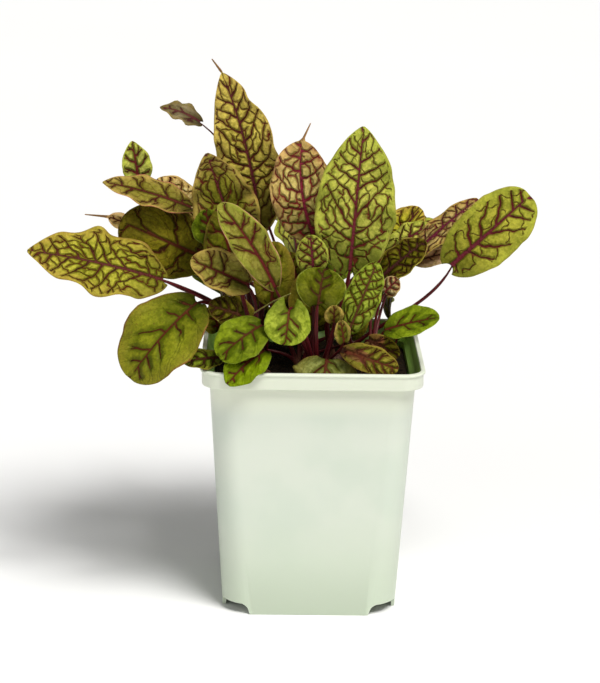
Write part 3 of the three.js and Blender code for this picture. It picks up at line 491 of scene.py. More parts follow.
def blade_normal(row, axes, s, v):
    step = 1e-3
    ahead = blade_points(row, axes, s + step, v) - blade_points(row, axes, s - step, v)
    right = (blade_points(row, axes, s, np.minimum(v + step, 1))
             - blade_points(row, axes, s, np.maximum(v - step, -1)))
    return unit(np.cross(right, ahead))


def add_blade(sheet, row, kind=0):
    """One blade as a thin closed sheet with its puckers, its raised midrib and its vein maps."""
    axes = blade_axes(row)
    length = axes["length"]
    rows = int(np.clip(length * 0.95, 16, 66))
    halves = int(np.clip(row["width"] * 0.42, 5, 15))
    spread = np.linspace(0, 1, halves + 1) ** 1.25
    across_share = np.concatenate([-spread[:0:-1], spread])
    columns = 2 * halves
    s, v = np.meshgrid(blade_stations(length, rows), across_share, indexing="ij")
    reach = np.abs(v)
    x = half_width(row, s, LEAST_HALF) * v
    y = length * s - row["lobe"] * reach ** 2.5 * (1 - s) ** 4
    phase, gap, path, skew = vein_layout(row, length, x, y)
    pucker = pucker_height(row, x, s, reach, phase + np.where(v < 0, *SIDE_SHIFT))
    edge = np.sqrt(np.clip(1 - reach ** 6, 0, 1)) * 0.9 + 0.1
    rib = 0.55 * (1 - s) ** 0.6 * np.exp(-(x / 0.75) ** 2)
    middle = blade_points(row, axes, s, v)
    normal = blade_normal(row, axes, s, v)
    top = middle + normal * (pucker + BLADE_THICKNESS / 2 * edge + 0.15 * rib)[..., None]
    low = middle + normal * (pucker - BLADE_THICKNESS / 2 * edge - rib)[..., None]

    if row["spike"]:
        for u, centre, across, up, wide in spike_rows(row, axes, SPIKE_ROWS):
            line = centre + across * (wide * across_share)[:, None]
            round_off = np.sqrt(np.clip(1 - across_share ** 2, 0, 1))[:, None]
            thick = up * wide * 0.8 * round_off
            top = np.concatenate([top, (line + thick)[None]])
            low = np.concatenate([low, (line - thick)[None]])
            x = np.concatenate([x, (wide * across_share)[None]])
            y = np.concatenate([y, y[-1:] + 1])
            s = np.concatenate([s, np.full((1, columns + 1), 1 + 0.5 * u)])
            reach, phase, gap, path, skew = (
                np.concatenate([a, a[-1:]]) for a in (reach, phase, gap, path, skew))
        rows += SPIKE_ROWS

    size = (rows + 1) * (columns + 1)
    upper = grid_faces(rows, columns, 0, False)
    under = grid_faces(rows, columns, size, True)
    loop = border_loop(rows, columns)
    following = np.roll(loop, -1)
    rim = np.stack([loop, loop + size, following + size, following], 1)
    faces = np.concatenate([upper, under, rim])
    corner = faces % size
    face_left = (corner % (columns + 1)).mean(1) < halves
    shift = np.where(face_left, *SIDE_SHIFT)[:, None]
    below = np.zeros((len(faces), 1))
    below[len(upper):len(upper) + len(under)] = UNDER_MARK

    def pairs(first, second, more_first=0.0, more_second=0.0):
        return np.stack([first.ravel()[corner] + more_first, second.ravel()[corner] + more_second], -1)

    points = np.concatenate([top.reshape(-1, 3), low.reshape(-1, 3)])
    sheet.add(points, faces, kind, vein=pairs(phase, reach, shift), flat=pairs(x / 10, y / 10),
              span=pairs(gap, s, 0.0, below), path=pairs(path, skew))


def stalk_radius(row, u):
    """The stalk's radius at shares u, from the crown to the blade."""
    return STALK_RADIUS * row["stalk"] * (1.1 - 0.35 * u) * np.clip(row["width"] / 26, 0.62, 1.15)


def stalk_path(row, root_place, root_radius, gap, count):
    """The stalk's middle line, from its crown to just inside the blade's base."""
    axes = blade_axes(row)
    share = np.array([STALK_UNDERLAP / axes["length"]])
    along, _, up = (a[0] for a in blade_frame(row, axes, share))
    end = midrib(row, axes, share)[0] - up * gap
    towards = np.array([end[0] - root_place[0], end[1] - root_place[1], 0])
    away = min(float(np.linalg.norm(towards)), 1)
    towards = unit(towards) * away * root_radius * 0.45
    root = np.array([root_place[0] + towards[0], root_place[1] + towards[1], SOIL_TOP + 1])
    run = float(np.linalg.norm(end - root))
    bend = np.array(row["bend"], float)
    rise = unit(np.array([towards[0] * 0.12, towards[1] * 0.12, 1]))
    first = root + rise * run * 0.4 + bend
    second = end - along * run * 0.3 + bend
    u = np.linspace(0, 1, count)[:, None]
    path = (root * (1 - u) ** 3 + first * 3 * u * (1 - u) ** 2
            + second * 3 * u * u * (1 - u) + end * u ** 3)
    path += up * (gap - STALK_END_GAP) * smooth_step(0.75, 1.0, u)
    return path, up


def ring_faces(rings, sides):
    """Quads of a closed tube: its sides, and a strip of quads across each end."""
    r, k = np.meshgrid(np.arange(rings - 1), np.arange(sides), indexing="ij")
    a = (r * sides + k).ravel()
    b = (r * sides + (k + 1) % sides).ravel()
    k = np.arange(sides // 2 - 1)
    end = np.stack([k, k + 1, sides - 2 - k, sides - 1 - k], 1)
    walls = np.stack([a, b, b + sides, a + sides], 1)
    return np.concatenate([walls, end[:, ::-1], end + (rings - 1) * sides])


def add_stalk(sheet, row, root_place, root_radius, gap, kind):
    """A round stalk with a shallow channel on its upper side, flared where it leaves the crown."""
    count, sides = 26, 12
    path, up = stalk_path(row, root_place, root_radius, gap, count)
    u = np.linspace(0, 1, count)
    tangent = unit(np.gradient(path, axis=0))
    side = unit(np.cross(tangent[-1], up))
    angle = 2 * np.pi * np.arange(sides) / sides
    channel = (1 - 0.28 * np.clip(np.sin(angle), 0, 1) ** 3)[:, None]
    rings = []
    for i in range(count - 1, -1, -1):
        side = unit(side - tangent[i] * dot(side, tangent[i]))
        top = np.cross(side, tangent[i])
        size = stalk_radius(row, u[i]) * (1 + 0.75 * np.exp(-u[i] * 13))
        size = size * (1 - 0.45 * smooth_step(0.8, 1.0, u[i]))
        circle = side * np.cos(angle)[:, None] + top * np.sin(angle)[:, None]
        rings.append(path[i] + size * channel * circle)
    points = np.concatenate(rings[::-1])
    faces = ring_faces(count, sides)[:, ::-1]
    corner_u = (faces // sides) / (count - 1)
    around = (faces % sides) / sides
    length = float(np.linalg.norm(np.diff(path, axis=0), axis=1).sum())
    flat = np.stack([around, corner_u * length / 10], -1)
    sheet.add(points, faces, kind, flat=flat, span=np.stack([around, corner_u], -1))


def add_knob(sheet, place, radius, kind):
    """The knob that the stalks rise from, ribbed by the bases of old stalks."""
    heights = [-0.5, 0.1, 0.5, 0.75, 0.92, 1.0]
    widths = [0.9, 1.0, 0.94, 0.76, 0.5, 0.22]
    sides = 28
    angle = 2 * np.pi * np.arange(sides) / sides
    rings = []
    for height, width in zip(heights, widths):
        reach = radius * width * (0.92 + 0.08 * np.cos(7 * angle + 3 * height))
        rings.append(np.stack([place[0] + reach * np.cos(angle), place[1] + reach * np.sin(angle),
                               np.full(sides, SOIL_TOP + CROWN_RISE * height)], 1))
    sheet.add(np.concatenate(rings), ring_faces(len(heights), sides), kind)


# Shader sums
def linear(colour):
    """A colour of 0 to 255 as light, for a shader."""
    share = np.array(colour, float) / 255
    value = np.where(share <= 0.04045, share / 12.92, ((share + 0.055) / 1.055) ** 2.4)
    return (*value.tolist(), 1.0)


PLAIN_SUMS = {"ADD": operator.add, "SUBTRACT": operator.sub, "MULTIPLY": operator.mul}


def toned(colour, tone):
    return (*(tone * value for value in linear(colour)[:3]), 1.0)


class Nodes:
    """Writes a material's nodes as sums. A value is a number, a colour or another node's output."""

    def __init__(self, name):
        self.material = bpy.data.materials.new(name)
        self.material.use_nodes = True
        self.tree = self.material.node_tree
        self.shader = self.tree.nodes["Principled BSDF"]

    def new(self, kind, *values, **settings):
        """A node with these settings, its first inputs set to the values."""
        node = self.tree.nodes.new(kind)
        for key, value in settings.items():
            setattr(node, key, value)
        for socket, value in zip(node.inputs, values):
            self.feed(socket, value)
        return node

    def feed(self, socket, value):
        if isinstance(value, bpy.types.NodeSocket):
            self.tree.links.new(value, socket)
        else:
            socket.default_value = value

    def fill(self, node, **values):
        """Sets a node's inputs by name."""
        for key, value in values.items():
            self.feed(node.inputs[key.replace("_", " ")], value)
        return node

    def math(self, operation, *values):
        if operation in PLAIN_SUMS and all(isinstance(value, (int, float)) for value in values):
            return PLAIN_SUMS[operation](*values)
        return self.new("ShaderNodeMath", *values, operation=operation).outputs[0]

    def chain(self, operation, values, *extra):
        result = values[0]
        for value in values[1:]:
            result = self.math(operation, result, value, *extra)
        return result

    def times(self, *values):
        return self.chain("MULTIPLY", values)

    def plus(self, *values):
        return self.chain("ADD", values)

    def less(self, value, taken):
        return self.math("SUBTRACT", value, taken)

    def most(self, *values):
        return self.chain("MAXIMUM", values)

    def size(self, value):
        return self.math("ABSOLUTE", value)

    def join(self, *values):
        """The least of some distances, rounded where two are alike."""
        return self.chain("SMOOTH_MIN", values, JOIN_ROUNDING)

    def step(self, value, low, high, bottom=0.0, top=1.0):
        """Runs smoothly from bottom to top as the value goes from low to high."""
        node = self.new("ShaderNodeMapRange", value, low, high, bottom, top,
                        interpolation_type="SMOOTHSTEP")
        return node.outputs[0]

    def mix(self, share, first, second):
        node = self.new("ShaderNodeMix", share, data_type="RGBA")
        self.feed(node.inputs[6], first)
        self.feed(node.inputs[7], second)
        return node.outputs[2]

    def vector(self, x, y, z=0.0):
        return self.new("ShaderNodeCombineXYZ", x, y, z).outputs[0]

    def split(self, value, kind="XYZ"):
        return list(self.new("ShaderNodeSeparate" + kind, value).outputs)

    def uv(self, name):
        return self.split(self.new("ShaderNodeUVMap", uv_map=name).outputs[0])[:2]

    def place(self):
        return self.new("ShaderNodeTexCoord").outputs["Object"]

    def noise(self, vector, scale, detail=2.0, roughness=0.5):
        node = self.new("ShaderNodeTexNoise", vector)
        return self.fill(node, Scale=scale, Detail=detail, Roughness=roughness).outputs[0]

    def draws(self, *keys):
        """Three random numbers that stay the same wherever the keys are the same."""
        node = self.new("ShaderNodeTexWhiteNoise", self.vector(*keys), noise_dimensions="3D")
        return self.split(node.outputs["Color"], "Color")

    def rungs(self, along):
        """Uneven rungs about 1 apart: the distance to the nearest, and two draws for each space."""
        made = []
        for feature in ("DISTANCE_TO_EDGE", "F1"):
            node = self.new("ShaderNodeTexVoronoi", feature=feature, voronoi_dimensions="1D")
            made.append(self.fill(node, W=along, Scale=1.0, Randomness=RUNG_PLAY))
        place, chance, _ = self.split(made[1].outputs["Color"], "Color")
        return made[0].outputs["Distance"], place, chance

    def bump(self, height, distance, strength):
        node = self.new("ShaderNodeBump")
        return self.fill(node, Height=height, Distance=distance, Strength=strength).outputs[0]

    def surface(self, **values):
        self.fill(self.shader, **values)
        return self.material


# Leaf skin. Distances are in mm, and noise places in cm on the flat blade.
JOIN_ROUNDING = 0.75
RUNG_PLAY = 0.75
NET_LEAST = 0.1
SOFT_EDGE = 0.1
HIDDEN = 2.0
MIDRIB_TIP_HALF = 0.24
GREEN_TONE = 0.8
LIGHT_TONE = 0.93
SHADE = 0.45
DARK_VEIN = 0.6
FLUSH = 0.64
THIN_VEIN_TINT = (10, 6, 0)
TIP_COLOUR = (150, 112, 72)
STAIN_COLOUR = (104, 22, 44)
SPECKLE_COLOUR = (84, 34, 20)
UNDER_PALE = (152, 150, 104)
UNDER_VEIN = (120, 52, 62)

# How blades with and without a net differ: the play of their laterals, the laterals' half width far
# out (mm) and how suddenly they end, how strongly the skin beside a vein takes its colour, how far
# from a vein the skin is fully raised (mm) and fully lit by the painted highlight, and the tint of
# the painted sheen along the midrib, for which a weak net counts as none.
NETTED = dict(zigzag=0.14, kink=0.36, far_half=0.2, fade=-0.02, halo=0.5, raised=1.1, sheen_tint=(20, 16, 24))
WITHOUT_NET = dict(zigzag=0.0, kink=0.28, far_half=0.14, fade=-0.2, halo=0.4, raised=2.6, sheen_tint=(14, 12, 8))


def blend(first, second, share):
    """A colour of 0 to 255 between two others."""
    return [(1 - share) * a + share * b for a, b in zip(first, second)]


class Skin:
    """What a blade's shader knows of each point: its vein maps and a few noises."""

    def __init__(self, n, look, seed):
        self.n, self.look, self.seed = n, look, seed
        self.netted = look["net"] > NET_LEAST
        self.rule = NETTED if self.netted else WITHOUT_NET
        self.phase, self.reach = n.uv("vein")
        self.x, self.y = n.uv("flat")
        self.gap, along = n.uv("span")
        self.path, self.skew = n.uv("path")
        self.under = n.math("GREATER_THAN", along, UNDER_MARK - 0.25)
        self.s = n.less(along, n.times(self.under, UNDER_MARK))
        self.offset = seed * 1.37
        self.flat = n.vector(self.x, self.y, self.offset)
        self.side = n.math("SIGN", self.x)
        self.off_x = n.size(n.times(self.x, 10.0))
        self.wander = n.less(n.noise(self.flat, 1.3, 1.0), 0.5)
        self.quick = n.less(n.noise(self.flat, 5.0, 2.0), 0.5)
        self.fleck = n.noise(self.flat, 9.0, 3.0, 0.6)

    def turned(self, more):
        """A second noise place, not in step with the first."""
        return self.n.vector(self.y, self.x, self.offset + more)

    def count_laterals(self):
        """Where a point lies between the lateral veins, which wander and kink."""
        n = self.n
        kink = n.less(n.noise(self.turned(4.0), 2.4, 0.0), 0.5)
        zigzag = n.times(self.quick, n.plus(n.times(self.reach, self.rule["zigzag"]), 0.06))
        zigzag = n.plus(zigzag, n.times(kink, n.step(self.reach, 0.02, 0.3, 0.0, self.rule["kink"])))
        count = n.plus(self.phase, n.times(self.wander, 0.22), zigzag)
        self.strip = n.math("FLOOR", count)
        self.part = n.less(count, self.strip)
        self.whole = n.math("FLOOR", n.plus(count, 0.5))
        self.signed = n.less(count, self.whole)

    def off_veins(self):
        """Distance to the edge of the nearest midrib, lateral vein or fork, negative inside it."""
        n, look, reach = self.n, self.look, self.reach
        mid_half = n.step(self.s, 0.0, 1.0, look["midrib"], MIDRIB_TIP_HALF)
        off_mid = n.plus(self.off_x, n.times(self.quick, 0.25), n.step(self.s, 0.9, 0.99, 0.0, HIDDEN))
        first, second, third = n.draws(self.whole, self.side, self.seed)
        if self.netted:
            end, thin_from = look["end"], look["reach"]
        else:
            end, thin_from = n.plus(n.times(first, 0.3), look["reach"] - 0.2), 0.85
        half = n.step(reach, 0.0, thin_from, look["lateral"], self.rule["far_half"])
        short = n.step(n.less(reach, end), self.rule["fade"], 0.0, 0.0, HIDDEN)
        off_line = n.plus(n.times(n.size(self.signed), self.gap), short)
        edges = [n.less(off_mid, mid_half), n.less(off_line, half)]
        if look["net"] < 0.7:
            turn = n.times(n.math("SIGN", n.less(second, 0.5)), 0.7)
            beyond = n.less(reach, n.plus(n.times(third, 0.3), 0.2))
            off_fork = n.times(n.size(n.less(self.signed, n.times(beyond, turn))), self.gap)
            early = n.times(n.math("LESS_THAN", beyond, 0.0), HIDDEN)
            edges.append(n.less(n.plus(off_fork, early, short), n.times(half, 0.7)))
        return n.join(*edges)

    def off_net(self):
        """The same for the fine net: rungs from lateral to lateral, and rails in the wide strips."""
        n, look, part = self.n, self.look, self.part
        tilt = n.draws(self.strip, self.side, self.seed + 0.5)[0]
        slope = n.times(n.less(part, 0.5), n.less(tilt, 0.5), 1.1)
        foot = n.times(n.plus(self.path, n.times(part, self.skew)), 1 / look["cell"])
        bend = n.noise(self.turned(9.0), 2.2, 0.0)
        ladder = n.plus(foot, n.times(self.quick, 0.14), n.times(bend, 0.8), slope,
                        n.times(self.strip, 17.3), n.times(self.side, 5.1), self.seed * 2.3)
        off_rung, place, chance = n.rungs(ladder)
        rail = n.plus(n.times(place, 0.36), n.times(self.wander, 0.2), n.times(self.quick, 0.2), 0.32)
        left_out = n.times(n.math("LESS_THAN", chance, look["open"]), 9.0)
        too_narrow = n.step(self.gap, 7.5, 5.5, 0.0, 1.5)
        off_rail = n.plus(n.times(n.size(n.less(part, rail)), self.gap), left_out, too_narrow)
        half = n.step(n.noise(self.flat, 1.7, 1.0), 0.3, 0.7, 0.1, 0.25)
        broken = n.step(n.noise(self.flat, 2.4, 1.0), 0.22, 0.3, HIDDEN, 0.0)
        beyond = n.step(self.reach, look["end"] + 0.02, look["end"] + 0.06, 0.0, HIDDEN)
        return n.plus(n.less(n.join(n.times(off_rung, look["cell"]), off_rail), half), broken, beyond)

    def skin_colour(self, nearest, raised):
        """The skin between the veins: lighter where raised as a painted highlight, tinted at the margin,
        darkened at the base with painted shade.
        """
        n, look, flat = self.n, self.look, self.flat
        tone = look["tone"]
        green = toned(look["green"], GREEN_TONE * tone)
        shade = (*(SHADE * a for a in green[:3]), 1.0)
        # Painted highlight: raised skin between the veins takes the light colour, more in the lit spots;
        # the patches are the skin's own paler tone.
        patch = n.step(n.noise(flat, 0.6, 2.0), 0.35, 0.68)
        lit_spot = n.step(n.noise(flat, 4.0, 3.0, 0.6), 0.38, 0.62)
        pale_and_lit = n.plus(n.times(patch, 0.3), n.times(raised, n.plus(n.times(lit_spot, 0.4), 0.25)), 0.05)
        skin = n.mix(pale_and_lit, green, toned(look["light"], LIGHT_TONE * tone))
        patchy = n.step(n.noise(flat, 1.3, 2.0), 0.3, 0.7, 0.5, 1.0)
        rim_share = n.times(n.step(self.reach, 0.45, 0.95), patchy)
        rim_share = n.plus(rim_share, n.times(n.step(self.s, 0.6, 1.0), 0.6))
        rim_share = n.math("MINIMUM", rim_share, 1.0)
        skin = n.mix(n.times(rim_share, look["bronze"]), skin, toned(look["edge"], tone))
        flush = blend(look["light"] if self.netted else look["green"], look["vein"], FLUSH)
        near = n.step(nearest, 0.75, 0.0)
        skin = n.mix(n.times(near, self.rule["halo"]), skin, linear(flush))
        skin = n.mix(n.step(self.fleck, 0.42, 0.75, 0.0, 0.25), skin, shade)
        if look["speckle"]:
            place = n.vector(n.times(self.x, 1.6), self.y, self.seed)
            dots = n.step(n.noise(place, 9.0, 1.0), 0.66, 0.72, 0.0, look["speckle"])
            skin = n.mix(dots, skin, linear(SPECKLE_COLOUR))
        strength, half, end = look["stain"]
        if strength:
            across = n.step(n.plus(self.off_x, n.times(self.quick, 3.0)), half, half * 0.6)
            lengthwise = n.step(n.plus(self.s, n.times(self.quick, 0.3)), end, end - 0.15)
            skin = n.mix(n.times(across, lengthwise, strength), skin, linear(STAIN_COLOUR))
        # Painted shade: the skin darkens towards the blade's base.
        return n.mix(n.times(n.step(self.s, look["deep_to"], 0.0), look["deep"]), skin, shade)

    def vein_colours(self):
        """The colour of the strong veins, with a painted purple sheen along the midrib's middle, and of the
        fine net.
        """
        n, vein = self.n, self.look["vein"]
        sheen_tint = (NETTED if self.look["net"] > 0.5 else WITHOUT_NET)["sheen_tint"]
        thin, sheen_colour = (linear([a + b for a, b in zip(vein, more)]) for more in (THIN_VEIN_TINT, sheen_tint))
        # Painted sheen: a paler purple along the middle of the midrib, broken up by the fleck noise.
        sheen = n.times(n.step(self.off_x, 2.4, 0.2, 0.0, 0.9), n.step(self.fleck, 0.3, 0.6))
        streak = n.step(n.noise(self.flat, 3.0), 0.4, 0.7)
        strong = n.mix(streak, linear(vein), linear([DARK_VEIN * a for a in vein]))
        return n.mix(sheen, strong, sheen_colour), thin

    def with_hem(self, colour):
        """The colour with a thin broken hem, and a dry point where the tip runs out."""
        n, look = self.n, self.look
        broken = n.step(n.noise(self.flat, 1.2, 2.0), 0.36, 0.6, 0.25, 1.0)
        at_edge = n.step(n.plus(self.reach, n.times(self.quick, 0.06)), 0.93, 0.985)
        colour = n.mix(n.times(at_edge, broken, look["hem"]), colour, linear(look["hem_colour"]))
        return n.mix(n.step(self.s, 1.0, 1.04), colour, linear(TIP_COLOUR))


def leaf_material(name, look, seed):
    """A sorrel blade: maroon veins from the vein maps, on a skin that lightens between them with a painted
    highlight.
    """
    n = Nodes("leaf_" + name)
    at = Skin(n, look, seed)
    at.count_laterals()
    nearest = at.off_veins()
    vein = n.step(nearest, SOFT_EDGE, -SOFT_EDGE)
    fine = 0.0
    if at.netted:
        off_net = at.off_net()
        fine = n.times(n.step(n.join(nearest, off_net), SOFT_EDGE, -SOFT_EDGE), look["net"])
        nearest = n.join(nearest, n.plus(off_net, HIDDEN * (1 - look["net"])))
    raised = n.step(nearest, 0.0, at.rule["raised"])
    strong, thin = at.vein_colours()
    colour = n.mix(fine, at.skin_colour(nearest, raised), thin)
    colour = at.with_hem(n.mix(vein, colour, strong))
    pale = linear(blend(UNDER_PALE, look["light"], 0.45))
    back = n.mix(n.times(n.most(vein, n.times(fine, 0.6)), 0.75), pale, linear(UNDER_VEIN))

    sunk = n.times(n.most(vein, n.times(fine, 0.5)), n.less(0.7, n.times(at.under, 1.4)))
    height = n.plus(n.less(n.times(raised, 0.8), sunk), n.times(at.fleck, 0.3))
    roughness = n.plus(n.times(at.fleck, 0.22), n.times(at.under, 0.16), 0.38 - look["gloss"])
    return n.surface(Base_Color=n.mix(at.under, colour, back), Roughness=roughness,
                     Normal=n.bump(height, 0.0018, 0.85), Specular_IOR_Level=0.17,
                     Specular_Tint=(1.0, 0.86, 0.28, 1.0), Subsurface_Weight=0.12,
                     Subsurface_Radius=(0.6, 0.8, 0.15), Subsurface_Scale=0.0012)


# Stalks, crowns, peat, pot and floor
STALK_DARK = (46, 7, 10)
STALK_MAROON = (92, 19, 27)
STALK_STREAK = (136, 66, 52)
STALK_FOOT = (120, 92, 66)
CROWN_DARK = (62, 22, 24)
CROWN_BROWN = (134, 98, 70)
PEAT_DARK = (13, 9, 4)
PEAT_BROWN = (36, 25, 13)
PEAT_CLOD = (48, 34, 18)
PEAT_FIBRE = (118, 92, 62)
# foot is painted shade, darker towards the bottom, and rim is painted light round the top; low and high are
# the plastic's own uneven tone.
POT_OUTSIDE = dict(low=(198, 207, 192), high=(206, 212, 198), foot=(188, 199, 178), rim=(216, 221, 202))
# Inside, the dark green is painted shade and painted reflection of the leaves on the inner walls, with the
# same painted foot shade and rim light.
POT_INSIDE = dict(low=(100, 142, 48), high=(120, 160, 66), foot=(90, 130, 44), rim=(140, 178, 84))
FLOOR_GREY = (240, 240, 239)
FLOOR_WHITE = (244, 244, 244)


def stalk_material():
    """Maroon stalks with paler streaks that run along them."""
    n = Nodes("stalk")
    around, along = n.uv("flat")
    _, share = n.uv("span")
    streak_place = n.vector(n.times(around, 7.0), n.times(along, 0.7), 0.0)
    streak = n.noise(streak_place, 1.6, 3.0, 0.6)
    colour = n.mix(n.step(streak, 0.35, 0.65), linear(STALK_DARK), linear(STALK_MAROON))
    colour = n.mix(n.step(streak, 0.62, 0.8), colour, linear(STALK_STREAK))
    colour = n.mix(n.times(n.step(share, 0.22, 0.0), 0.5), colour, linear(STALK_FOOT))
    relief = n.bump(streak, 0.0003, 0.5)
    return n.surface(Base_Color=colour, Roughness=n.step(streak, 0.3, 0.7, 0.32, 0.5), Normal=relief,
                     Specular_IOR_Level=0.3, Specular_Tint=(1.0, 0.72, 0.62, 1.0),
                     Subsurface_Weight=0.1, Subsurface_Radius=(0.9, 0.3, 0.2),
                     Subsurface_Scale=0.001)


def crown_material():
    """Rough brown knobs with maroon left in their hollows."""
    n = Nodes("crown")
    place = n.place()
    grain = n.noise(place, 900.0, 3.0, 0.6)
    colour = n.mix(n.step(grain, 0.35, 0.7), linear(CROWN_DARK), linear(CROWN_BROWN))
    return n.surface(Base_Color=colour, Roughness=0.65, Normal=n.bump(grain, 0.0004, 0.7))


def soil_material():
    """Dark peat: near black crumbs, brown fibres and a few pale flecks."""
    n = Nodes("soil")
    place = n.place()
    grain = n.noise(place, 420.0, 4.0, 0.65)
    coarse = n.noise(place, 120.0, 2.0)
    fibre = n.noise(place, 1500.0, 1.0)
    colour = n.mix(n.step(grain, 0.35, 0.65), linear(PEAT_DARK), linear(PEAT_BROWN))
    colour = n.mix(n.step(coarse, 0.55, 0.75, 0.0, 0.6), colour, linear(PEAT_CLOD))
    colour = n.mix(n.step(fibre, 0.72, 0.8, 0.0, 0.7), colour, linear(PEAT_FIBRE))
    relief = n.bump(grain, 0.001, 0.9)
    return n.surface(Base_Color=colour, Roughness=n.step(grain, 0.3, 0.7, 0.8, 0.97), Normal=relief,
                     Specular_IOR_Level=0.12)


def pot_material(name, low, high, foot, rim):
    """Thin pale mint plastic: soft gloss, faint moulding unevenness, a paler rim band as painted light and
    a darker foot as painted shade.
    """
    n = Nodes(name)
    place = n.place()
    height = n.split(place)[2]
    cloud = n.noise(place, 22.0, 3.0)
    fine = n.noise(place, 800.0, 2.0)
    colour = n.mix(n.step(cloud, 0.35, 0.65), linear(low), linear(high))
    # Painted shade: darker towards the bottom of the pot.
    colour = n.mix(n.step(height, 0.07, 0.0), colour, linear(foot))
    # Painted light: paler round the rim, against the shade that the leaves cast there.
    colour = n.mix(n.step(height, 0.104, 0.116), colour, linear(rim))
    relief = n.bump(n.plus(n.times(fine, 0.4), n.times(cloud, 0.6)), 0.00012, 0.25)
    return n.surface(Base_Color=colour, Roughness=n.step(fine, 0.3, 0.7, 0.33, 0.42), Normal=relief,
                     Subsurface_Weight=0.15, Subsurface_Radius=(1.0, 1.2, 0.9), Subsurface_Scale=0.002)


def floor_material():
    n = Nodes("floor")
    cloud = n.noise(n.place(), 1.5, 2.0)
    colour = n.mix(cloud, linear(FLOOR_GREY), linear(FLOOR_WHITE))
    return n.surface(Base_Color=colour, Roughness=0.7)


# Pieces
def place_in_scene(name, data):
    """A new object of this mesh, lamp or camera, linked to the scene."""
    made = bpy.data.objects.new(name, data)
    bpy.context.scene.collection.objects.link(made)
    return made


def mesh_of(name, points, faces):
    mesh = bpy.data.meshes.new(name)
    mesh.from_pydata(points, [], faces)
    mesh.update()
    return mesh


def make_piece(name, mesh, materials, node):
    piece = place_in_scene(name, mesh)
    for material in materials:
        piece.data.materials.append(material)
    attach(piece, "root")
    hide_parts(node)
    return piece


def rounded_square(half, radius, z, steps=12):
    """A level ring round a square with rounded corners."""
    ring = []
    for corner in range(4):
        turn = corner * math.pi / 2
        reach = (half - radius) * math.sqrt(2)
        cx, cy = reach * math.cos(turn + math.pi / 4), reach * math.sin(turn + math.pi / 4)
        for i in range(steps + 1):
            angle = turn + i / steps * math.pi / 2
            ring.append((cx + radius * math.cos(angle), cy + radius * math.sin(angle), z))
    return ring


def ring_shell(count, rings):
    """The faces of a closed form of rings, each of count points, lowest first."""
    faces = []
    for r in range(rings - 1):
        for i in range(count):
            j = (i + 1) % count
            low, high = r * count, (r + 1) * count
            faces.append((low + i, low + j, high + j, high + i))
    faces.append(tuple(range(count))[::-1])
    faces.append(tuple(range((rings - 1) * count, rings * count)))
    return faces


def ring_solid(name, rings):
    """A closed solid from rings of points, lowest first, each turning anticlockwise."""
    points = [Vector(p) * MM for ring in rings for p in ring]
    return place_in_scene(name, mesh_of(name, points, ring_shell(len(rings[0]), len(rings))))


def body_half(z):
    """Half the width of the pot's body at height z."""
    return (BODY_BASE_WIDTH + (BODY_TOP_WIDTH - BODY_BASE_WIDTH) * z / RIM_BOTTOM) / 2


def body_corner(z):
    share = min(max(z / RIM_BOTTOM, 0), 1)
    return BODY_BASE_CORNER + (BODY_TOP_CORNER - BODY_BASE_CORNER) * share


def pot_outside():
    """The outer form, from rings of half width, corner radius and height."""
    rim = RIM_WIDTH / 2
    lip = rim + LIP_OUT
    under_lip = POT_HEIGHT - LIP_HEIGHT
    rings = [(body_half(0) - 0.3, body_corner(0), 0), (body_half(0), body_corner(0), 0.35)]
    rings += [(body_half(z), body_corner(z), z) for z in (30, 60, 90, RIM_BOTTOM - 0.6)]
    rings += [(body_half(RIM_BOTTOM) + 0.15, body_corner(RIM_BOTTOM), RIM_BOTTOM - 0.12),
              (body_half(RIM_BOTTOM) + 0.7, RIM_CORNER, RIM_BOTTOM),
              (rim - 0.7, RIM_CORNER, RIM_BOTTOM + 0.04), (rim - 0.22, RIM_CORNER, RIM_BOTTOM + 0.26),
              (rim, RIM_CORNER, RIM_BOTTOM + 0.85), (rim, RIM_CORNER, under_lip - 1.0),
              (rim + 0.12, RIM_CORNER, under_lip - 0.5), (lip - 0.12, RIM_CORNER, under_lip - 0.1),
              (lip, RIM_CORNER, under_lip + 0.3), (lip, RIM_CORNER, POT_HEIGHT - 0.5),
              (lip - 0.16, RIM_CORNER, POT_HEIGHT - 0.14), (lip - 0.5, RIM_CORNER, POT_HEIGHT)]
    return ring_solid("pot_outside", [rounded_square(h, r, z) for h, r, z in rings])


def pot_inside():
    """The hollow that holds the soil."""
    floor_top = FLOOR_UNDERSIDE + FLOOR_THICKNESS
    shelf = RIM_BOTTOM - 1
    mouth = RIM_WIDTH / 2 - WALL
    corner = RIM_CORNER - WALL
    rings = [(body_half(floor_top) - WALL - 1.2, body_corner(floor_top) - WALL, floor_top),
             (body_half(floor_top) - WALL, body_corner(floor_top) - WALL, floor_top + 1.2),
             (body_half(shelf) - WALL, body_corner(shelf) - WALL, shelf),
             (mouth - 1.4, corner, RIM_BOTTOM + 1.6), (mouth - 1.0, corner, RIM_BOTTOM + 2.4),
             (mouth, corner, POT_HEIGHT - 0.5), (mouth + 0.35, corner, POT_HEIGHT - 0.1),
             (mouth + 0.8, corner, POT_HEIGHT + 1)]
    return ring_solid("pot_inside", [rounded_square(h, r, z) for h, r, z in rings])


def pot_recess():
    """The hollow under the pot's floor."""
    half = body_half(0) - WALL
    corner = body_corner(0) - WALL
    return ring_solid("pot_recess", [rounded_square(half + 0.3, corner, -1),
                                     rounded_square(half, corner, 0.3),
                                     rounded_square(half, corner, FLOOR_UNDERSIDE)])


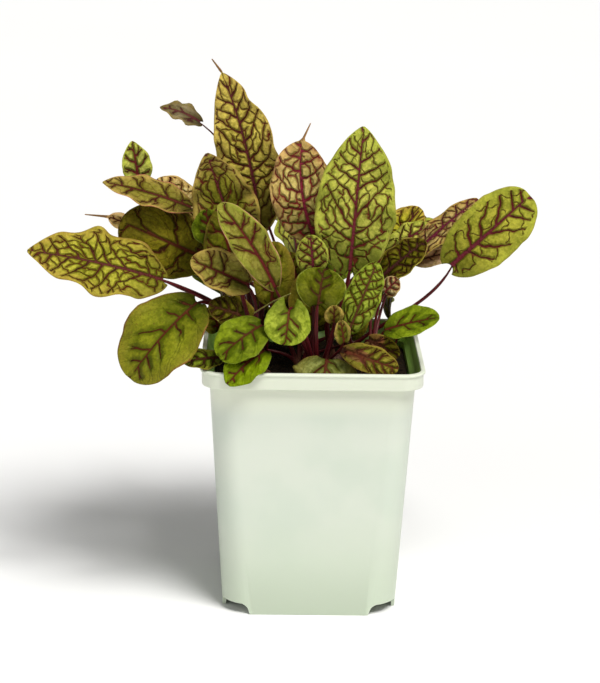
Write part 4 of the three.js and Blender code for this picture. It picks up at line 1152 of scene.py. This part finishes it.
def corner_notch(turn):
    """The cut at one corner of the foot: its ends rise in an S curve to a flat top."""
    near = FOOT_WIDTH / 2 - 0.4
    far = BODY_BASE_WIDTH * 0.75
    steps = 14
    curve = [(-1.0, near)]
    for i in range(steps + 1):
        share = (1 - math.cos(math.pi * i / steps)) / 2
        rise = 0.25 * share ** 0.5 + 0.25 * share + 0.6 * share ** 6
        curve.append((NOTCH_HEIGHT * share, near + NOTCH_SLOPE * rise))
    rings = [[(start, start, z), (far, start, z), (far, far, z), (start, far, z)] for z, start in curve]
    solid = ring_solid("notch", rings)
    solid.matrix_world = Matrix.Rotation(turn, 4, "Z")
    return solid


def centre_foot():
    rings = []
    for z, grow in ((0, -0.4), (0.4, 0), (FLOOR_UNDERSIDE + 1, 0)):
        radius = CENTRE_FOOT_RADIUS + grow
        rings.append([(radius * math.cos(a), radius * math.sin(a), z)
                      for a in (2 * math.pi * i / 40 for i in range(40))])
    return ring_solid("centre_foot", rings)


def join_solids(target, other, operation):
    change = target.modifiers.new(operation.lower(), "BOOLEAN")
    change.operation = operation
    change.solver = "EXACT"
    change.object = other
    bake_modifiers(target)
    bpy.data.objects.remove(other)


def bake_modifiers(piece):
    bpy.context.view_layer.update()
    shaped = piece.evaluated_get(bpy.context.evaluated_depsgraph_get())
    mesh = bpy.data.meshes.new_from_object(shaped)
    piece.modifiers.clear()
    piece.data = mesh


def make_pot():
    pot = pot_outside()
    for cutter in (pot_inside(), pot_recess()):
        join_solids(pot, cutter, "DIFFERENCE")
    for corner in range(4):
        join_solids(pot, corner_notch(corner * math.pi / 2), "DIFFERENCE")
    join_solids(pot, centre_foot(), "UNION")
    mesh = pot.data
    bpy.data.objects.remove(pot)
    mesh.polygons.foreach_set("use_smooth", np.ones(len(mesh.polygons), bool))
    mesh.set_sharp_from_angle(angle=math.radians(38))
    for face in mesh.polygons:
        face.material_index = int(faces_inward(face))
    outer = pot_material("pot_outside", **POT_OUTSIDE)
    inner = pot_material("pot_inside", **POT_INSIDE)
    return make_piece("pot_shell", mesh, [outer, inner], "pot")


def faces_inward(face):
    """True on the pot's inner walls and on its floor."""
    x, y, z = face.center / MM
    floor_top = FLOOR_UNDERSIDE + FLOOR_THICKNESS
    if z < floor_top - 0.1 or z > POT_HEIGHT - 0.4:
        return False
    flat = Vector((x, y, 0))
    if flat.length < CENTRE_FOOT_RADIUS + 20:
        return True
    return face.normal.dot(flat.normalized()) < -0.05 or (face.normal.z > 0.7 and z < floor_top + 2)


def soil_height(x, y):
    return SOIL_TOP + SOIL_SWELL * np.sin(x * 0.11 + 1) * np.cos(y * 0.13 - 0.5)


def crumbs(rng, count, reach):
    """Small peat lumps that lie on the soil, as squashed and turned octahedra."""
    points, faces = [], []
    corners = np.array([(1, 0, 0), (0, 1, 0), (-1, 0, 0), (0, -1, 0), (0, 0, 1), (0, 0, -1)], float)
    sides = [(0, 1, 4), (1, 2, 4), (2, 3, 4), (3, 0, 4), (1, 0, 5), (2, 1, 5), (3, 2, 5), (0, 3, 5)]
    for _ in range(count):
        x, y = rng.uniform(-reach, reach), rng.uniform(-reach, reach)
        size = rng.uniform(0.5, 1.5)
        lump = corners * np.array([rng.uniform(0.6, 1.3) for _ in range(3)]) * size
        lump += np.array([[rng.uniform(-0.2, 0.2) * size for _ in range(3)] for _ in range(6)])
        turn = rng.uniform(0, math.pi)
        across, along = math.cos(turn), math.sin(turn)
        spin = np.array([[across, -along, 0], [along, across, 0], [0, 0, 1]])
        lump = lump @ spin.T + np.array([x, y, float(soil_height(x, y)) + 0.1 * size])
        faces += [tuple(len(points) + k for k in side) for side in sides]
        points += lump.tolist()
    return points, faces


def even_ring(ring, count):
    """A closed ring's points, set again at even steps along it."""
    ring = np.array(ring)[:, :2]
    closed = np.concatenate([ring, ring[:1]])
    along = np.concatenate([[0], np.cumsum(np.linalg.norm(np.diff(closed, axis=0), axis=1))])
    places = np.linspace(0, along[-1], count, endpoint=False)
    return np.stack([np.interp(places, along, closed[:, k]) for k in (0, 1)], 1)


def make_soil():
    """Peat that fills the pot, with a crumbly top."""
    rng = random.Random(SOIL_SEED)
    top_z = SOIL_TOP - SOIL_EDGE_DROP
    floor = FLOOR_UNDERSIDE + FLOOR_THICKNESS + SOIL_GAP
    count, steps = 168, 32
    rough_height = 0.55

    def wall(z, inset):
        half = body_half(z) - WALL - SOIL_GAP - inset
        return even_ring(rounded_square(half, body_corner(z) - WALL - SOIL_GAP, z), count)

    edge = wall(top_z, 0)
    rings = [np.column_stack([wall(floor, 0.2), np.full(count, floor)]),
             np.column_stack([edge, np.full(count, top_z)])]
    for k in range(1, steps):
        outer_share = 1 - k / steps
        flat = edge * (0.985 * outer_share + 0.002)
        rough = np.array([rng.uniform(-rough_height, rough_height) for _ in range(count)])
        rough *= min(1, 3 * outer_share)
        rings.append(np.column_stack([flat, soil_height(flat[:, 0], flat[:, 1]) + rough]))
    points = np.concatenate(rings)
    faces = ring_shell(count, len(rings))
    lumps, lump_faces = crumbs(rng, CRUMB_COUNT, body_half(top_z) - WALL - 3)
    faces += [tuple(len(points) + k for k in face) for face in lump_faces]
    points = np.concatenate([points, np.array(lumps)]) * MM
    mesh = mesh_of("soil_bed", points.tolist(), faces)
    return make_piece("soil_bed", mesh, [soil_material()], "soil")


def make_crown(name, place, rows, stalks, knob):
    """One crown: the stalks of its leaves and the knob they rise from."""
    sheet = Sheet()
    for row in rows:
        gap = float(stalk_radius(row, 1)) + SOLID_THICKNESS / 2 + STALK_CLEARANCE
        add_stalk(sheet, row, place, CROWN_RADIUS, gap, 0)
    add_knob(sheet, place, CROWN_RADIUS, 1)
    mesh = sheet.mesh("stalks_" + name)
    return make_piece("stalks_" + name, mesh, [stalks, knob], "crown_" + name)


def make_young(name, root, look, blades, stalks, knob, seed):
    """One young plant: its blades, its stalks and its knob in one piece."""
    sheet = Sheet()
    for place in blades:
        row = leaf("young", "", "young", look, *place)
        add_blade(sheet, row)
        gap = float(stalk_radius(row, 1)) * YOUNG_STALK_GAP
        add_stalk(sheet, row, root, YOUNG_RADIUS, gap, 1)
    add_knob(sheet, root, YOUNG_RADIUS, 2)
    skin = leaf_material(name, SKIN | LOOKS[look], seed)
    mesh = sheet.mesh("plant_" + name)
    return make_piece("plant_" + name, mesh, [skin, stalks, knob], name)


def make_leaf(row, seed):
    """One blade as a piece of its own."""
    sheet = Sheet()
    add_blade(sheet, row)
    name = "blade_" + row["name"]
    material = leaf_material(row["name"], row, seed)
    return make_piece(name, sheet.mesh(name), [material], "leaf_" + row["name"])


# Camera, floor and lights
CAMERA_DISTANCE = 1210.16
CAMERA_ELEVATION = 15.063
CAMERA_ROLL = 0.864
CAMERA_YAW = -0.864
CAMERA_AIM = (-5.915, 0.0, 131.711)
FOCAL_PIXELS = 2372.341
PHOTO_HEIGHT = 683
SENSOR = 36.0


def make_camera():
    """The camera found from the pot's edges in the photo."""
    lift, yaw, roll = (math.radians(a) for a in (CAMERA_ELEVATION, CAMERA_YAW, CAMERA_ROLL))
    back = Vector((math.sin(yaw) * math.cos(lift), -math.cos(yaw) * math.cos(lift), math.sin(lift)))
    right = (-back).cross(Vector((0, 0, 1))).normalized()
    up = right.cross(-back)
    turned_right = right * math.cos(roll) + up * math.sin(roll)
    turned_up = up * math.cos(roll) - right * math.sin(roll)
    camera = place_in_scene("camera", bpy.data.cameras.new("camera"))
    camera.data.sensor_width = SENSOR
    camera.data.sensor_fit = "AUTO"
    camera.data.lens = SENSOR * FOCAL_PIXELS / PHOTO_HEIGHT
    camera.data.clip_end = 100
    place = (Vector(CAMERA_AIM) + back * CAMERA_DISTANCE) * MM
    turn = Matrix((turned_right, turned_up, back)).transposed().to_4x4()
    camera.matrix_world = Matrix.Translation(place) @ turn
    bpy.context.scene.camera = camera


def make_floor():
    half = 12.0
    corners = [(-half, -half, 0), (half, -half, 0), (half, half, 0), (-half, half, 0)]
    floor = place_in_scene("floor", mesh_of("floor", corners, [(0, 1, 2, 3)]))
    floor.data.materials.append(floor_material())


def sun(name, towards, strength, softness, tint):
    """Even light from far away; towards points from the plant to the light."""
    light = bpy.data.lights.new(name, "SUN")
    light.energy = strength
    light.angle = math.radians(softness)
    light.color = tint
    lamp = place_in_scene(name, light)
    lamp.rotation_euler = Vector(towards).to_track_quat("Z", "Y").to_euler()


SKY_LIGHT = 0.22


def make_light():
    """A white sky, a soft key light from the right and a weak fill from the left."""
    world = bpy.data.worlds.new("studio")
    bpy.context.scene.world = world
    world.use_nodes = True
    background = world.node_tree.nodes["Background"]
    background.inputs[0].default_value = (1, 1, 1, 1)
    background.inputs[1].default_value = SKY_LIGHT
    sun("key", towards=(0.5, -0.72, 1.35), strength=3.5, softness=26, tint=(1, 0.99, 0.97))
    sun("fill", towards=(-0.5, -1.2, 0.6), strength=0.5, softness=50, tint=(0.97, 0.98, 1))
    bpy.context.scene.view_settings.view_transform = "Standard"


def main():
    make_camera()
    make_floor()
    make_light()
    make_pot()
    make_soil()
    stalks = stalk_material()
    knob = crown_material()
    for name, place in CROWNS.items():
        make_crown(name, place, [row for row in LEAVES if row["crown"] == name], stalks, knob)
    for seed, (name, (root, look, blades)) in enumerate(YOUNG.items(), YOUNG_SEED):
        make_young(name, root, look, blades, stalks, knob, float(seed))
    for seed, row in enumerate(LEAVES):
        make_leaf(row, float(seed))


main()
